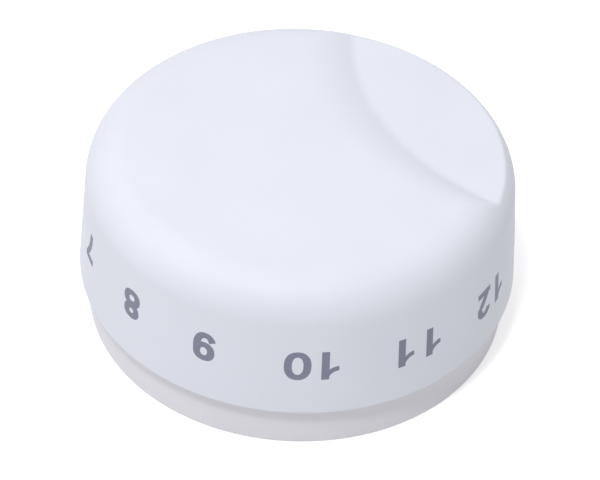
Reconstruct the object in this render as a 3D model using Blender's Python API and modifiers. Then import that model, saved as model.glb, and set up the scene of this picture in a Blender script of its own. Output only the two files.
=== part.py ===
"""Cooktop selector switch: a low rotary selector with a moulded dial cap, thirteen positions, off and 1 to 12.

The base ring stands on the panel. The dial cap turns on it about Z, clockwise for more, and takes the rotor
with it: a wiper under the rotor joins the common ring to one of twelve studs, and two sprung balls in the
rotor drop into the holes of a steel index plate. Origin: centre of the base ring's seating face, +Z up.
"""

import math

import bmesh
import bpy
from mathutils import Matrix, Vector

MM = 0.001

# Positions of the selector
POSITIONS = 13
PITCH = math.tau / POSITIONS

# Clearances
SEAT_GAP = 0.3 * MM
RUNNING_GAP = 0.3 * MM
BALL_CLEARANCE = 0.05 * MM
PLATE_MARGIN = 0.3 * MM
HUB_CLEARANCE = 1.2 * MM
HEAD_CLEARANCE = 0.6 * MM

# Dial cap
CAP_RADIUS = 22.0 * MM
CAP_HEIGHT = 14.6 * MM
CAP_DRAFT = 0.8 * MM
CAP_WALL = 1.9 * MM
CAP_ROOF = 2.2 * MM
CAP_EDGE_RADIUS = 4.0 * MM
CAP_INNER_RADIUS = 1.5 * MM
CAP_RIM_CHAMFER = 0.3 * MM
CAP_RIBS = 6
CAP_RIB_THICKNESS = 0.9 * MM
CAP_RIB_DEPTH = 1.2 * MM
HUB_WALL = 1.6 * MM

# Finger recess in the cap's top: a level floor behind a ramp between two arcs
RECESS_DEPTH = 1.15 * MM
CREST_RADIUS = 25.9 * MM
CREST_OFFSET = 30.4 * MM
CREST_HEADING = math.radians(33.8)
FLOOR_ARC_RADIUS = 28.2 * MM
FLOOR_ARC_OFFSET = 38.6 * MM
FLOOR_ARC_HEADING = math.radians(31.4)
RAMP_TURN = 0.7

# Base ring
RING_STEP = 0.9 * MM
RING_HEIGHT = 4.6 * MM
RING_WALL = 1.5 * MM
RING_CHAMFER = 0.3 * MM
FLOOR_RECESS = 1.6 * MM
FLOOR_THICKNESS = 1.0 * MM
WELL_WALL = 1.1 * MM
BEARING_WALL = 1.1 * MM
BOSS_RADIUS = 1.7 * MM
BOSS_BITE = 0.1 * MM
BOSS_DROP = 0.2 * MM
MOUNT_BOSS_HEIGHT = 6.5 * MM
MOUNT_PILOT_RADIUS = 0.85 * MM
MOUNT_PILOT_DEPTH = 5.5 * MM
MOUNT_HEADINGS = [math.radians(degrees) for degrees in (90.0, 210.0, 330.0)]
STAKE_RADIUS = 0.5 * MM
STAKE_HEAD_RADIUS = 0.8 * MM
STAKE_HEAD_HEIGHT = 0.4 * MM
STAKE_STEPS = (1.5, 5.5, 9.5)

# Contact board, fixed contacts and common ring
BOARD_THICKNESS = 1.0 * MM
BOARD_BORE_CLEARANCE = 0.5 * MM
CONTACT_HEAD_RADIUS = 1.2 * MM
CONTACT_HEAD_HEIGHT = 0.6 * MM
CONTACT_DOME = 0.25 * MM
PIN_RADIUS = 0.6 * MM
PIN_END = 0.3 * MM
COMMON_WIDTH = 2.0 * MM
COMMON_THICKNESS = 0.5 * MM

# Wiper under the rotor
WIPER_THICKNESS = 0.3 * MM
WIPER_WIDTH = 2.8 * MM
WIPER_DIP = 0.7 * MM
WIPER_BEND = 0.7 * MM
WIPER_CURL = 0.8 * MM
WIPER_CURL_RISE = 0.35 * MM
WIPER_SLOT = 0.5 * MM
WIPER_STAKE_RADIUS = 0.45 * MM
WIPER_STAKE_HEAD_RADIUS = 0.85 * MM
WIPER_STAKE_HEAD_HEIGHT = 0.4 * MM

# Rotor
ROTOR_RADIUS = 10.8 * MM
ROTOR_THICKNESS = 1.6 * MM
JOURNAL_RADIUS = 2.6 * MM
SPINDLE_RADIUS = 3.0 * MM
SPINDLE_FLAT = 2.2 * MM
SPINDLE_CHAMFER = 0.4 * MM

# Detent: two sprung balls under the index plate
BALL_RADIUS = 1.25 * MM
BALL_STEPS = (0, 6)
BALL_HEADING = math.radians(90.0)
DETENT_HOLE_RADIUS = 1.0 * MM
POCKET_WALL = 0.65 * MM
POCKET_FLOOR = 0.7 * MM
SPRING_WIRE_RADIUS = 0.15 * MM
SPRING_COIL_RADIUS = 0.95 * MM
SPRING_HEIGHT = 1.8 * MM
SPRING_TURNS = 2.5
SPRING_SEAT = 0.2 * MM

# Index plate and its stop tab, which the rotor's lug meets at off and at 12
PLATE_THICKNESS = 0.8 * MM
TAB_HEADING = math.pi
TAB_WIDTH = 2.2 * MM
TAB_LENGTH = 1.6 * MM
TAB_INSET = 0.9 * MM
LUG_HEIGHT = 1.9 * MM
LUG_DEPTH = 1.1 * MM

# Screws that hold the index plate
SCREW_HEADINGS = [math.radians(degrees) for degrees in (30.0, 150.0, 270.0)]
SCREW_RADIUS = 0.8 * MM
SCREW_LENGTH = 5.5 * MM
SCREW_TIP = 0.6 * MM
SCREW_HEAD_RADIUS = 1.6 * MM
SCREW_HEAD_HEIGHT = 1.1 * MM
SCREW_HEAD_EDGE = 0.3 * MM
DRIVE_WIDTH = 0.45 * MM
DRIVE_LENGTH = 2.0 * MM
DRIVE_DEPTH = 0.6 * MM

# Shaft clip between the spindle's flat and the hub
CLIP_THICKNESS = 0.3 * MM
CLIP_WIDTH = 2.8 * MM
CLIP_LEG = 1.6 * MM
CLIP_TOP_GAP = 0.6 * MM
CLIP_CORNER = 0.3 * MM

# Facets and modelling allowances
CAP_STEPS = 72
BODY_STEPS = 60
MID_STEPS = 36
SMALL_STEPS = 16
PIN_STEPS = 12
SPRING_STEPS = 10
BALL_RINGS = 10
ROD_SIDES = 16
RECESS_STATIONS = 30
RAMP_STEPS = 6
WELD = 0.00001
OVERRUN = 1.0 * MM
SINK = 0.4 * MM

# Heights, from the seating face up
FLOOR_BOTTOM = FLOOR_RECESS
FLOOR_TOP = FLOOR_BOTTOM + FLOOR_THICKNESS
BOARD_BOTTOM = FLOOR_TOP + SEAT_GAP
BOARD_TOP = BOARD_BOTTOM + BOARD_THICKNESS
CONTACT_BOTTOM = BOARD_TOP + SEAT_GAP
CONTACT_TOP = CONTACT_BOTTOM + CONTACT_HEAD_HEIGHT
WIPER_TIP = CONTACT_TOP + SEAT_GAP
WIPER_BOTTOM = WIPER_TIP + WIPER_DIP
ROTOR_BOTTOM = WIPER_BOTTOM + WIPER_THICKNESS + SEAT_GAP
ROTOR_TOP = ROTOR_BOTTOM + ROTOR_THICKNESS
SPRING_BOTTOM = WIPER_TIP + POCKET_FLOOR + SEAT_GAP
SPRING_TOP_CENTRE = SPRING_BOTTOM + SPRING_HEIGHT - SPRING_WIRE_RADIUS
BALL_REACH = BALL_RADIUS + SPRING_WIRE_RADIUS + SPRING_SEAT
BALL_CENTRE = SPRING_TOP_CENTRE + math.sqrt(BALL_REACH**2 - SPRING_COIL_RADIUS**2)
PLATE_BOTTOM = BALL_CENTRE + BALL_RADIUS + BALL_CLEARANCE
PLATE_TOP = PLATE_BOTTOM + PLATE_THICKNESS
WELL_TOP = PLATE_BOTTOM - SEAT_GAP
HUB_BOTTOM = PLATE_TOP + HUB_CLEARANCE
CAP_RIM = RING_HEIGHT + RUNNING_GAP
CAP_TOP = CAP_RIM + CAP_HEIGHT
ROOF_UNDERSIDE = CAP_TOP - CAP_ROOF
SPINDLE_TOP = ROOF_UNDERSIDE - SEAT_GAP

# Radii of the cap and ring, from outside in, and of the mechanism, from the rotor out
CAP_TOP_RADIUS = CAP_RADIUS - CAP_DRAFT
CAP_BORE_TOP = CAP_TOP_RADIUS - CAP_WALL
RING_RADIUS = CAP_RADIUS - RING_STEP
BOSS_CIRCLE = ROTOR_RADIUS + RUNNING_GAP + BOSS_RADIUS
WELL_INNER = BOSS_CIRCLE + BOSS_RADIUS - BOSS_BITE
WELL_OUTER = WELL_INNER + WELL_WALL
PLATE_RADIUS = WELL_OUTER - PLATE_MARGIN
CONTACT_CIRCLE = ROTOR_RADIUS - CONTACT_HEAD_RADIUS
BEARING_BORE = JOURNAL_RADIUS + RUNNING_GAP
BEARING_OUTER = BEARING_BORE + BEARING_WALL
COMMON_CIRCLE = (BEARING_OUTER + CONTACT_CIRCLE - CONTACT_HEAD_RADIUS) / 2
PIN_HOLE_RADIUS = PIN_RADIUS + SEAT_GAP
POCKET_RADIUS = BALL_RADIUS + SEAT_GAP
POCKET_BOSS_RADIUS = POCKET_RADIUS + POCKET_WALL
SPINDLE_HOLE_RADIUS = SPINDLE_RADIUS + RUNNING_GAP
HUB_FLAT = SPINDLE_FLAT + CLIP_THICKNESS + 2 * SEAT_GAP
HUB_RADIUS = SPINDLE_HOLE_RADIUS + HUB_WALL
SCREW_HOLE_RADIUS = SCREW_RADIUS + SEAT_GAP
STOP_RADIUS = ROTOR_RADIUS - TAB_INSET
DETENT_CIRCLE = STOP_RADIUS - PLATE_THICKNESS / 2 - RUNNING_GAP - POCKET_BOSS_RADIUS

# Headings of the fixed contacts: clockwise from the off position, which faces +X
CONTACT_HEADINGS = [-PITCH * step for step in range(1, POSITIONS)]
BALL_HEADINGS = [BALL_HEADING + PITCH * step for step in BALL_STEPS]
STAKE_HEADINGS = [-PITCH * step for step in STAKE_STEPS]


def clear_scene():
    for item in list(bpy.data.objects):
        bpy.data.objects.remove(item, do_unlink=True)


def make_collection(name):
    group = bpy.data.collections.new(name)
    bpy.context.scene.collection.children.link(group)
    return group


def finish(name, colour, roughness, metallic=0.0):
    """A Principled material of one colour."""
    material = bpy.data.materials.new(name)
    material.use_nodes = True
    shader = material.node_tree.nodes["Principled BSDF"]
    shader.inputs["Base Color"].default_value = (*colour, 1.0)
    shader.inputs["Roughness"].default_value = roughness
    shader.inputs["Metallic"].default_value = metallic
    return material


def add_part(name, data, material, location=(0.0, 0.0, 0.0), heading=0.0, parent=None):
    """Put a mesh or curve in the part's collection as one named piece."""
    piece = bpy.data.objects.new(name, data)
    piece.location = location
    piece.rotation_euler.z = heading
    piece.parent = parent
    if not data.materials:
        data.materials.append(material)
    PARTS.objects.link(piece)
    return piece


def add_tool(name, data, location=(0.0, 0.0, 0.0), heading=0.0):
    """Put a mesh in the tools' collection, for a Boolean of a piece."""
    tool = bpy.data.objects.new(name, data)
    tool.location = location
    tool.rotation_euler.z = heading
    tool.hide_render = True
    tool.display_type = "WIRE"
    TOOLS.objects.link(tool)
    return tool


def boolean(piece, tool, operation):
    step = piece.modifiers.new(f"{operation.title()} {tool.name}", "BOOLEAN")
    step.operation = operation
    step.solver = "EXACT"
    step.object = tool


def join(piece, *tools):
    for tool in tools:
        boolean(piece, tool, "UNION")


def cut(piece, *tools):
    for tool in tools:
        boolean(piece, tool, "DIFFERENCE")


def on_circle(radius, heading, height=0.0):
    return Vector((radius * math.cos(heading), radius * math.sin(heading), height))


def arc(centre, radius, start, end, count):
    """Points (radius, height) along an arc from start to end degrees, both ends included."""
    angles = [math.radians(start + (end - start) * i / count) for i in range(count + 1)]
    return [(centre[0] + radius * math.cos(a), centre[1] + radius * math.sin(a)) for a in angles]


def profile_mesh(name, profile, closed):
    mesh = bpy.data.meshes.new(name)
    edges = [(i, i + 1) for i in range(len(profile) - 1)]
    if closed:
        edges.append((len(profile) - 1, 0))
    mesh.from_pydata([(radius, 0.0, height) for radius, height in profile], edges, [])
    return mesh


def turn(piece, steps):
    """Screw the piece's profile round Z into a closed body."""
    screw = piece.modifiers.new("Turn", "SCREW")
    screw.steps = steps
    screw.render_steps = steps
    screw.use_merge_vertices = True
    screw.merge_threshold = WELD
    screw.use_smooth_shade = False


def settled_mesh(piece):
    """The piece's evaluated mesh, welded, as new data that copies can share. The piece is removed."""
    bpy.context.view_layer.update()
    evaluated = piece.evaluated_get(bpy.context.evaluated_depsgraph_get())
    mesh = bpy.data.meshes.new_from_object(evaluated)
    shape = bmesh.new()
    shape.from_mesh(mesh)
    bmesh.ops.remove_doubles(shape, verts=shape.verts, dist=WELD)
    shape.to_mesh(mesh)
    shape.free()
    bpy.data.objects.remove(piece, do_unlink=True)
    return mesh


def turned_mesh(name, profile, steps, closed=False):
    """A turned body as plain mesh data."""
    piece = add_tool(name, profile_mesh(name, profile, closed))
    turn(piece, steps)
    return settled_mesh(piece)


def rods_mesh(name, radius, bottom, top, circle, headings, sides=ROD_SIDES):
    """Upright rods on a circle, as one mesh. Each has a flat, not a corner, on the line to the axis."""
    shape = bmesh.new()
    for heading in headings:
        place = Matrix.Translation(on_circle(circle, heading, (bottom + top) / 2))
        place = place @ Matrix.Rotation(heading + math.pi / sides, 4, "Z")
        bmesh.ops.create_cone(
            shape, cap_ends=True, segments=sides, radius1=radius, radius2=radius, depth=top - bottom, matrix=place
        )
    mesh = bpy.data.meshes.new(name)
    shape.to_mesh(mesh)
    shape.free()
    return mesh


def blocks_mesh(name, size, centre, headings=(0.0,)):
    """A block of the given size whose centre is turned to each heading about Z, as one mesh."""
    shape = bmesh.new()
    for heading in headings:
        place = Matrix.Rotation(heading, 4, "Z") @ Matrix.Translation(Vector(centre))
        bmesh.ops.create_cube(shape, size=1.0, matrix=place @ Matrix.Diagonal((*size, 1.0)))
    mesh = bpy.data.meshes.new(name)
    shape.to_mesh(mesh)
    shape.free()
    return mesh


def loft_mesh(name, sections):
    """Closed outlines of equal length joined one to the next, with the ends capped."""
    shape = bmesh.new()
    rings = [[shape.verts.new(point) for point in section] for section in sections]
    count = len(rings[0])
    for here, after in zip(rings, rings[1:]):
        for i in range(count):
            shape.faces.new((here[i], here[(i + 1) % count], after[(i + 1) % count], after[i]))
    shape.faces.new(list(reversed(rings[0])))
    shape.faces.new(rings[-1])
    bmesh.ops.recalc_face_normals(shape, faces=shape.faces)
    mesh = bpy.data.meshes.new(name)
    shape.to_mesh(mesh)
    shape.free()
    return mesh


def strip(name, path, width, thickness, material, parent):
    """A bent strip: points (x, z) along its middle, spread to its width along Y and given its thickness."""
    shape = bmesh.new()
    sides = [[shape.verts.new((x, y, z)) for x, z in path] for y in (-width / 2, width / 2)]
    for i in range(len(path) - 1):
        shape.faces.new((sides[0][i], sides[0][i + 1], sides[1][i + 1], sides[1][i]))
    mesh = bpy.data.meshes.new(name)
    shape.to_mesh(mesh)
    shape.free()
    piece = add_part(name, mesh, material, parent=parent)
    wall = piece.modifiers.new("Thickness", "SOLIDIFY")
    wall.thickness = thickness
    wall.offset = 0.0
    wall.use_even_offset = True
    return piece


def smooth(piece, angle=35.0):
    mesh = piece.data
    mesh.shade_smooth()
    mesh.set_sharp_from_angle(angle=math.radians(angle))


def spread(offset, radius, reach):
    """Half the angle that an arc, centred offset from the axis, takes up within reach of the axis."""
    return math.acos((offset**2 + radius**2 - reach**2) / (2 * offset * radius))


def recess_arc(offset, radius, heading, share, reach):
    """A point on a recess arc: share runs from -1 to 1 between the arc's two meetings with the reach circle."""
    centre = on_circle(offset, heading)
    angle = heading + math.pi - share * spread(offset, radius, reach)
    return centre + on_circle(radius, angle)


def ramp_fall(part):
    """Share of the recess's depth reached at a share of the way down the ramp, which steepens and then eases."""
    if part < RAMP_TURN:
        return part**2 / RAMP_TURN
    return 1 - (1 - part) ** 2 / (1 - RAMP_TURN)


def recess_cutter():
    """What the finger recess takes away: a ramp that falls from the crest arc, then a level floor."""
    reach = CAP_RADIUS + 2 * OVERRUN
    outside = CAP_RADIUS + 5 * OVERRUN
    sections = []
    for station in range(RECESS_STATIONS + 1):
        share = 2 * station / RECESS_STATIONS - 1
        crest = recess_arc(CREST_OFFSET, CREST_RADIUS, CREST_HEADING, share, reach)
        foot = recess_arc(FLOOR_ARC_OFFSET, FLOOR_ARC_RADIUS, FLOOR_ARC_HEADING, share, reach)
        ends = [recess_arc(FLOOR_ARC_OFFSET, FLOOR_ARC_RADIUS, FLOOR_ARC_HEADING, side, reach) for side in (-1, 1)]
        start, end = (math.atan2(point.y, point.x) for point in ends)
        far = on_circle(outside, start + (end - start) * (share + 1) / 2)
        section = [crest + Vector((0.0, 0.0, CAP_TOP + OVERRUN))]
        for step in range(RAMP_STEPS + 1):
            part = step / RAMP_STEPS
            height = CAP_TOP - RECESS_DEPTH * (ramp_fall(part) - 0.02 * (1 - part))
            section.append(crest.lerp(foot, part) + Vector((0.0, 0.0, height)))
        section.append(far + Vector((0.0, 0.0, CAP_TOP - RECESS_DEPTH)))
        section.append(far + Vector((0.0, 0.0, CAP_TOP + OVERRUN)))
        sections.append(section)
    return add_tool("recess_cutter", loft_mesh("recess_cutter", sections))


def cap_profile():
    """Half section of the cap's shell, from the middle of its top down the outside and back up the inside."""
    slope = CAP_DRAFT / CAP_HEIGHT
    outer = CAP_TOP_RADIUS - CAP_EDGE_RADIUS
    points = [(0.0, CAP_TOP)]
    points += arc((outer, CAP_TOP - CAP_EDGE_RADIUS), CAP_EDGE_RADIUS, 90.0, 0.0, 8)
    points.append((CAP_RADIUS - slope * CAP_RIM_CHAMFER, CAP_RIM + CAP_RIM_CHAMFER))
    points.append((CAP_RADIUS - CAP_RIM_CHAMFER, CAP_RIM))
    points.append((CAP_RADIUS - CAP_WALL + CAP_RIM_CHAMFER, CAP_RIM))
    points.append((CAP_RADIUS - CAP_WALL, CAP_RIM + CAP_RIM_CHAMFER))
    inner = CAP_BORE_TOP - CAP_INNER_RADIUS
    points += arc((inner, ROOF_UNDERSIDE - CAP_INNER_RADIUS), CAP_INNER_RADIUS, 0.0, 90.0, 3)
    points.append((0.0, ROOF_UNDERSIDE))
    return points


def d_outline(radius, flat, sides):
    """A round outline with a flat on its +X side."""
    half = math.acos(flat / radius)
    angles = [half + (math.tau - 2 * half) * i / sides for i in range(sides + 1)]
    return [on_circle(radius, angle) for angle in angles]


def prism_mesh(name, outline, bottom, top):
    lift = [Vector((0.0, 0.0, height)) for height in (bottom, top)]
    return loft_mesh(name, [[point + step for point in outline] for step in lift])


def make_cap(parent):
    """Moulded cap: shell, hub with a D bore, ribs under the roof, finger recess in the top."""
    cap = add_part("dial_cap", profile_mesh("dial_cap", cap_profile(), False), WHITE_CAP, parent=parent)
    turn(cap, CAP_STEPS)
    cut(cap, recess_cutter())
    hub = rods_mesh("cap_hub", HUB_RADIUS, HUB_BOTTOM, ROOF_UNDERSIDE + SINK, 0.0, [0.0], MID_STEPS)
    join(cap, add_tool("cap_hub", hub))
    inside = HUB_RADIUS - SINK
    outside = CAP_BORE_TOP + SINK
    size = (outside - inside, CAP_RIB_THICKNESS, CAP_RIB_DEPTH + SINK)
    centre = ((outside + inside) / 2, 0.0, ROOF_UNDERSIDE + SINK - size[2] / 2)
    headings = [math.tau * (i + 0.5) / CAP_RIBS for i in range(CAP_RIBS)]
    join(cap, add_tool("cap_ribs", blocks_mesh("cap_ribs", size, centre, headings)))
    bore = prism_mesh(
        "hub_bore", d_outline(SPINDLE_HOLE_RADIUS, HUB_FLAT, MID_STEPS), HUB_BOTTOM - OVERRUN, ROOF_UNDERSIDE
    )
    cut(cap, add_tool("hub_bore", bore))
    return cap


def make_base():
    """Moulded base: outer ring, floor, well wall and bearing tube in one section, then bosses and stakes."""
    skirt = RING_RADIUS - RING_WALL
    bearing_top = ROTOR_BOTTOM - RUNNING_GAP
    profile = [
        (RING_RADIUS - RING_CHAMFER / 2, RING_HEIGHT),
        (RING_RADIUS, RING_HEIGHT - RING_CHAMFER / 2),
        (RING_RADIUS, RING_CHAMFER),
        (RING_RADIUS - RING_CHAMFER, 0.0),
        (skirt, 0.0),
        (skirt, FLOOR_BOTTOM),
        (BEARING_BORE, FLOOR_BOTTOM),
        (BEARING_BORE, bearing_top),
        (BEARING_OUTER, bearing_top),
        (BEARING_OUTER, FLOOR_TOP),
        (WELL_INNER, FLOOR_TOP),
        (WELL_INNER, WELL_TOP),
        (WELL_OUTER, WELL_TOP),
        (WELL_OUTER, FLOOR_TOP),
        (skirt, FLOOR_TOP),
        (skirt, RING_HEIGHT),
    ]
    base = add_part("base_ring", profile_mesh("base_ring", profile, True), WHITE_BASE)
    turn(base, BODY_STEPS)
    plate_bosses = rods_mesh(
        "plate_bosses", BOSS_RADIUS, FLOOR_BOTTOM + SINK, WELL_TOP - BOSS_DROP, BOSS_CIRCLE, SCREW_HEADINGS
    )
    mount_bosses = rods_mesh("mount_bosses", BOSS_RADIUS, 0.0, MOUNT_BOSS_HEIGHT, BOSS_CIRCLE, MOUNT_HEADINGS)
    stakes = rods_mesh(
        "board_stakes", STAKE_RADIUS, FLOOR_BOTTOM + SINK, CONTACT_BOTTOM + SINK / 2, CONTACT_CIRCLE, STAKE_HEADINGS, PIN_STEPS
    )
    heads = rods_mesh(
        "stake_heads",
        STAKE_HEAD_RADIUS,
        CONTACT_BOTTOM,
        CONTACT_BOTTOM + STAKE_HEAD_HEIGHT,
        CONTACT_CIRCLE,
        STAKE_HEADINGS,
        PIN_STEPS,
    )
    join(base, add_tool("plate_bosses", plate_bosses), add_tool("mount_bosses", mount_bosses))
    join(base, add_tool("board_stakes", stakes), add_tool("stake_heads", heads))
    screw_end = PLATE_TOP + SEAT_GAP - SCREW_LENGTH
    plate_pilots = rods_mesh(
        "plate_pilots", SCREW_HOLE_RADIUS, screw_end - HEAD_CLEARANCE, PLATE_BOTTOM, BOSS_CIRCLE, SCREW_HEADINGS, PIN_STEPS
    )
    mount_pilots = rods_mesh(
        "mount_pilots", MOUNT_PILOT_RADIUS, -OVERRUN, MOUNT_PILOT_DEPTH, BOSS_CIRCLE, MOUNT_HEADINGS, PIN_STEPS
    )
    cut(base, add_tool("plate_pilots", plate_pilots), add_tool("mount_pilots", mount_pilots))
    cut(base, pin_holes("floor_pin_holes", FLOOR_BOTTOM, FLOOR_TOP))
    return base


def pin_holes(name, bottom, top):
    """Clearance holes for the twelve studs' pins and the common ring's pin."""
    studs = rods_mesh(name, PIN_HOLE_RADIUS, bottom - SINK, top + SINK, CONTACT_CIRCLE, CONTACT_HEADINGS, PIN_STEPS)
    shape = bmesh.new()
    shape.from_mesh(studs)
    common = rods_mesh(name, PIN_HOLE_RADIUS, bottom - SINK, top + SINK, COMMON_CIRCLE, [0.0], PIN_STEPS)
    shape.from_mesh(common)
    shape.to_mesh(studs)
    shape.free()
    return add_tool(name, studs)


def make_board():
    """Insulating board over the floor, round the bearing tube, holed for the pins and the base's stakes."""
    inner = BEARING_OUTER + BOARD_BORE_CLEARANCE
    outline = [(ROTOR_RADIUS, BOARD_THICKNESS), (ROTOR_RADIUS, 0.0), (inner, 0.0), (inner, BOARD_THICKNESS)]
    board = add_part(
        "contact_board", profile_mesh("contact_board", outline, True), PHENOLIC, location=(0.0, 0.0, BOARD_BOTTOM)
    )
    turn(board, MID_STEPS)
    cut(board, pin_holes("board_pin_holes", BOARD_BOTTOM, BOARD_TOP))
    stakes = rods_mesh(
        "board_stake_holes",
        STAKE_RADIUS + SEAT_GAP,
        BOARD_BOTTOM - SINK,
        BOARD_TOP + SINK,
        CONTACT_CIRCLE,
        STAKE_HEADINGS,
        PIN_STEPS,
    )
    cut(board, add_tool("board_stake_holes", stakes))
    return board


def make_contacts():
    """Twelve studs with domed heads, one for each level, and pins that reach down through the floor."""
    dome = [(CONTACT_HEAD_RADIUS * part, CONTACT_HEAD_HEIGHT - CONTACT_DOME * part**2) for part in (0.0, 0.5, 1.0)]
    profile = dome + [
        (CONTACT_HEAD_RADIUS, 0.0),
        (PIN_RADIUS, 0.0),
        (PIN_RADIUS, PIN_END + PIN_RADIUS / 2 - CONTACT_BOTTOM),
        (PIN_RADIUS / 2, PIN_END - CONTACT_BOTTOM),
        (0.0, PIN_END - CONTACT_BOTTOM),
    ]
    mesh = turned_mesh("contact_stud", profile, PIN_STEPS)
    for number, heading in enumerate(CONTACT_HEADINGS, start=1):
        place = on_circle(CONTACT_CIRCLE, heading, CONTACT_BOTTOM)
        smooth(add_part(f"contact_{number:02d}", mesh, SILVERED, place, heading))


def make_common():
    """Flat ring under the wiper's inner end, with one pin at the off position."""
    inner = COMMON_CIRCLE - COMMON_WIDTH / 2
    outer = COMMON_CIRCLE + COMMON_WIDTH / 2
    outline = [(outer, COMMON_THICKNESS), (outer, 0.0), (inner, 0.0), (inner, COMMON_THICKNESS)]
    ring = add_part(
        "common_contact", profile_mesh("common_contact", outline, True), SILVERED, location=(0.0, 0.0, CONTACT_BOTTOM)
    )
    turn(ring, MID_STEPS)
    pin = rods_mesh(
        "common_pin", PIN_RADIUS, PIN_END, CONTACT_BOTTOM + COMMON_THICKNESS / 2, COMMON_CIRCLE, [0.0], PIN_STEPS
    )
    join(ring, add_tool("common_pin", pin))
    return ring


def make_wiper(parent):
    """Forked bronze strip that bridges the common ring and a stud, with a hole for the rotor's stake."""
    middle = WIPER_BOTTOM + WIPER_THICKNESS / 2
    tip = WIPER_TIP + WIPER_THICKNESS / 2
    path = [
        (COMMON_CIRCLE - WIPER_CURL, tip + WIPER_CURL_RISE),
        (COMMON_CIRCLE, tip),
        (COMMON_CIRCLE + WIPER_BEND, middle),
        (CONTACT_CIRCLE - WIPER_BEND, middle),
        (CONTACT_CIRCLE, tip),
        (CONTACT_CIRCLE + WIPER_CURL, tip + WIPER_CURL_RISE),
    ]
    wiper = strip("wiper", path, WIPER_WIDTH, WIPER_THICKNESS, BRONZE, parent)
    stake = (COMMON_CIRCLE + CONTACT_CIRCLE) / 2
    hole = rods_mesh(
        "wiper_hole", WIPER_STAKE_RADIUS + SEAT_GAP, WIPER_TIP, ROTOR_BOTTOM, stake, [0.0], SMALL_STEPS
    )
    length = WIPER_CURL + WIPER_BEND / 2
    size = (2 * length, WIPER_SLOT, 4 * WIPER_DIP)
    inner_slot = blocks_mesh("inner_slot", size, (COMMON_CIRCLE - WIPER_CURL, 0.0, middle))
    outer_slot = blocks_mesh("outer_slot", size, (CONTACT_CIRCLE + WIPER_CURL, 0.0, middle))
    cut(wiper, add_tool("wiper_hole", hole), add_tool("inner_slot", inner_slot), add_tool("outer_slot", outer_slot))
    return wiper


def lug_width():
    """The lug fills one pitch with the tab, less the seating gap on each side, so both ends stop square."""
    inner = STOP_RADIUS - PLATE_THICKNESS / 2
    reach = inner * math.sin(PITCH / 2) - TAB_WIDTH / 2 - SEAT_GAP
    return 2 * reach / math.cos(PITCH / 2)


def make_rotor(parent):
    """Moulded rotor: disc, journal below, D spindle above, two spring pockets, stop lug and wiper stake."""
    chamfer = SPINDLE_CHAMFER
    profile = [
        (0.0, SPINDLE_TOP),
        (SPINDLE_RADIUS - chamfer, SPINDLE_TOP),
        (SPINDLE_RADIUS, SPINDLE_TOP - chamfer),
        (SPINDLE_RADIUS, ROTOR_TOP),
        (ROTOR_RADIUS, ROTOR_TOP),
        (ROTOR_RADIUS, ROTOR_BOTTOM),
        (JOURNAL_RADIUS, ROTOR_BOTTOM),
        (JOURNAL_RADIUS, FLOOR_BOTTOM + chamfer),
        (JOURNAL_RADIUS - chamfer, FLOOR_BOTTOM),
        (0.0, FLOOR_BOTTOM),
    ]
    rotor = add_part("rotor", profile_mesh("rotor", profile, False), ACETAL, parent=parent)
    turn(rotor, BODY_STEPS)
    boss_top = PLATE_BOTTOM - RUNNING_GAP
    bosses = rods_mesh("pocket_bosses", POCKET_BOSS_RADIUS, WIPER_TIP, boss_top, DETENT_CIRCLE, BALL_HEADINGS)
    pockets = rods_mesh(
        "pockets", POCKET_RADIUS, WIPER_TIP + POCKET_FLOOR, boss_top + OVERRUN, DETENT_CIRCLE, BALL_HEADINGS
    )
    lug = blocks_mesh(
        "stop_lug",
        (LUG_DEPTH, lug_width(), LUG_HEIGHT + SINK),
        (STOP_RADIUS, 0.0, ROTOR_TOP + (LUG_HEIGHT - SINK) / 2),
        [TAB_HEADING - PITCH / 2],
    )
    stake = (COMMON_CIRCLE + CONTACT_CIRCLE) / 2
    head_top = WIPER_BOTTOM - SEAT_GAP
    pip = rods_mesh(
        "wiper_stake", WIPER_STAKE_RADIUS, head_top - SINK / 2, ROTOR_BOTTOM + SINK, stake, [0.0], SMALL_STEPS
    )
    head = rods_mesh(
        "wiper_stake_head",
        WIPER_STAKE_HEAD_RADIUS,
        head_top - WIPER_STAKE_HEAD_HEIGHT,
        head_top,
        stake,
        [0.0],
        SMALL_STEPS,
    )
    join(rotor, add_tool("pocket_bosses", bosses), add_tool("stop_lug", lug))
    join(rotor, add_tool("wiper_stake", pip), add_tool("wiper_stake_head", head))
    flat_bottom = PLATE_TOP + RUNNING_GAP
    flat_size = (SPINDLE_RADIUS, 3 * SPINDLE_RADIUS, SPINDLE_TOP - flat_bottom + OVERRUN)
    flat = blocks_mesh(
        "spindle_flat", flat_size, (SPINDLE_FLAT + SPINDLE_RADIUS / 2, 0.0, flat_bottom + flat_size[2] / 2)
    )
    cut(rotor, add_tool("pockets", pockets), add_tool("spindle_flat", flat))
    return rotor


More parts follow.
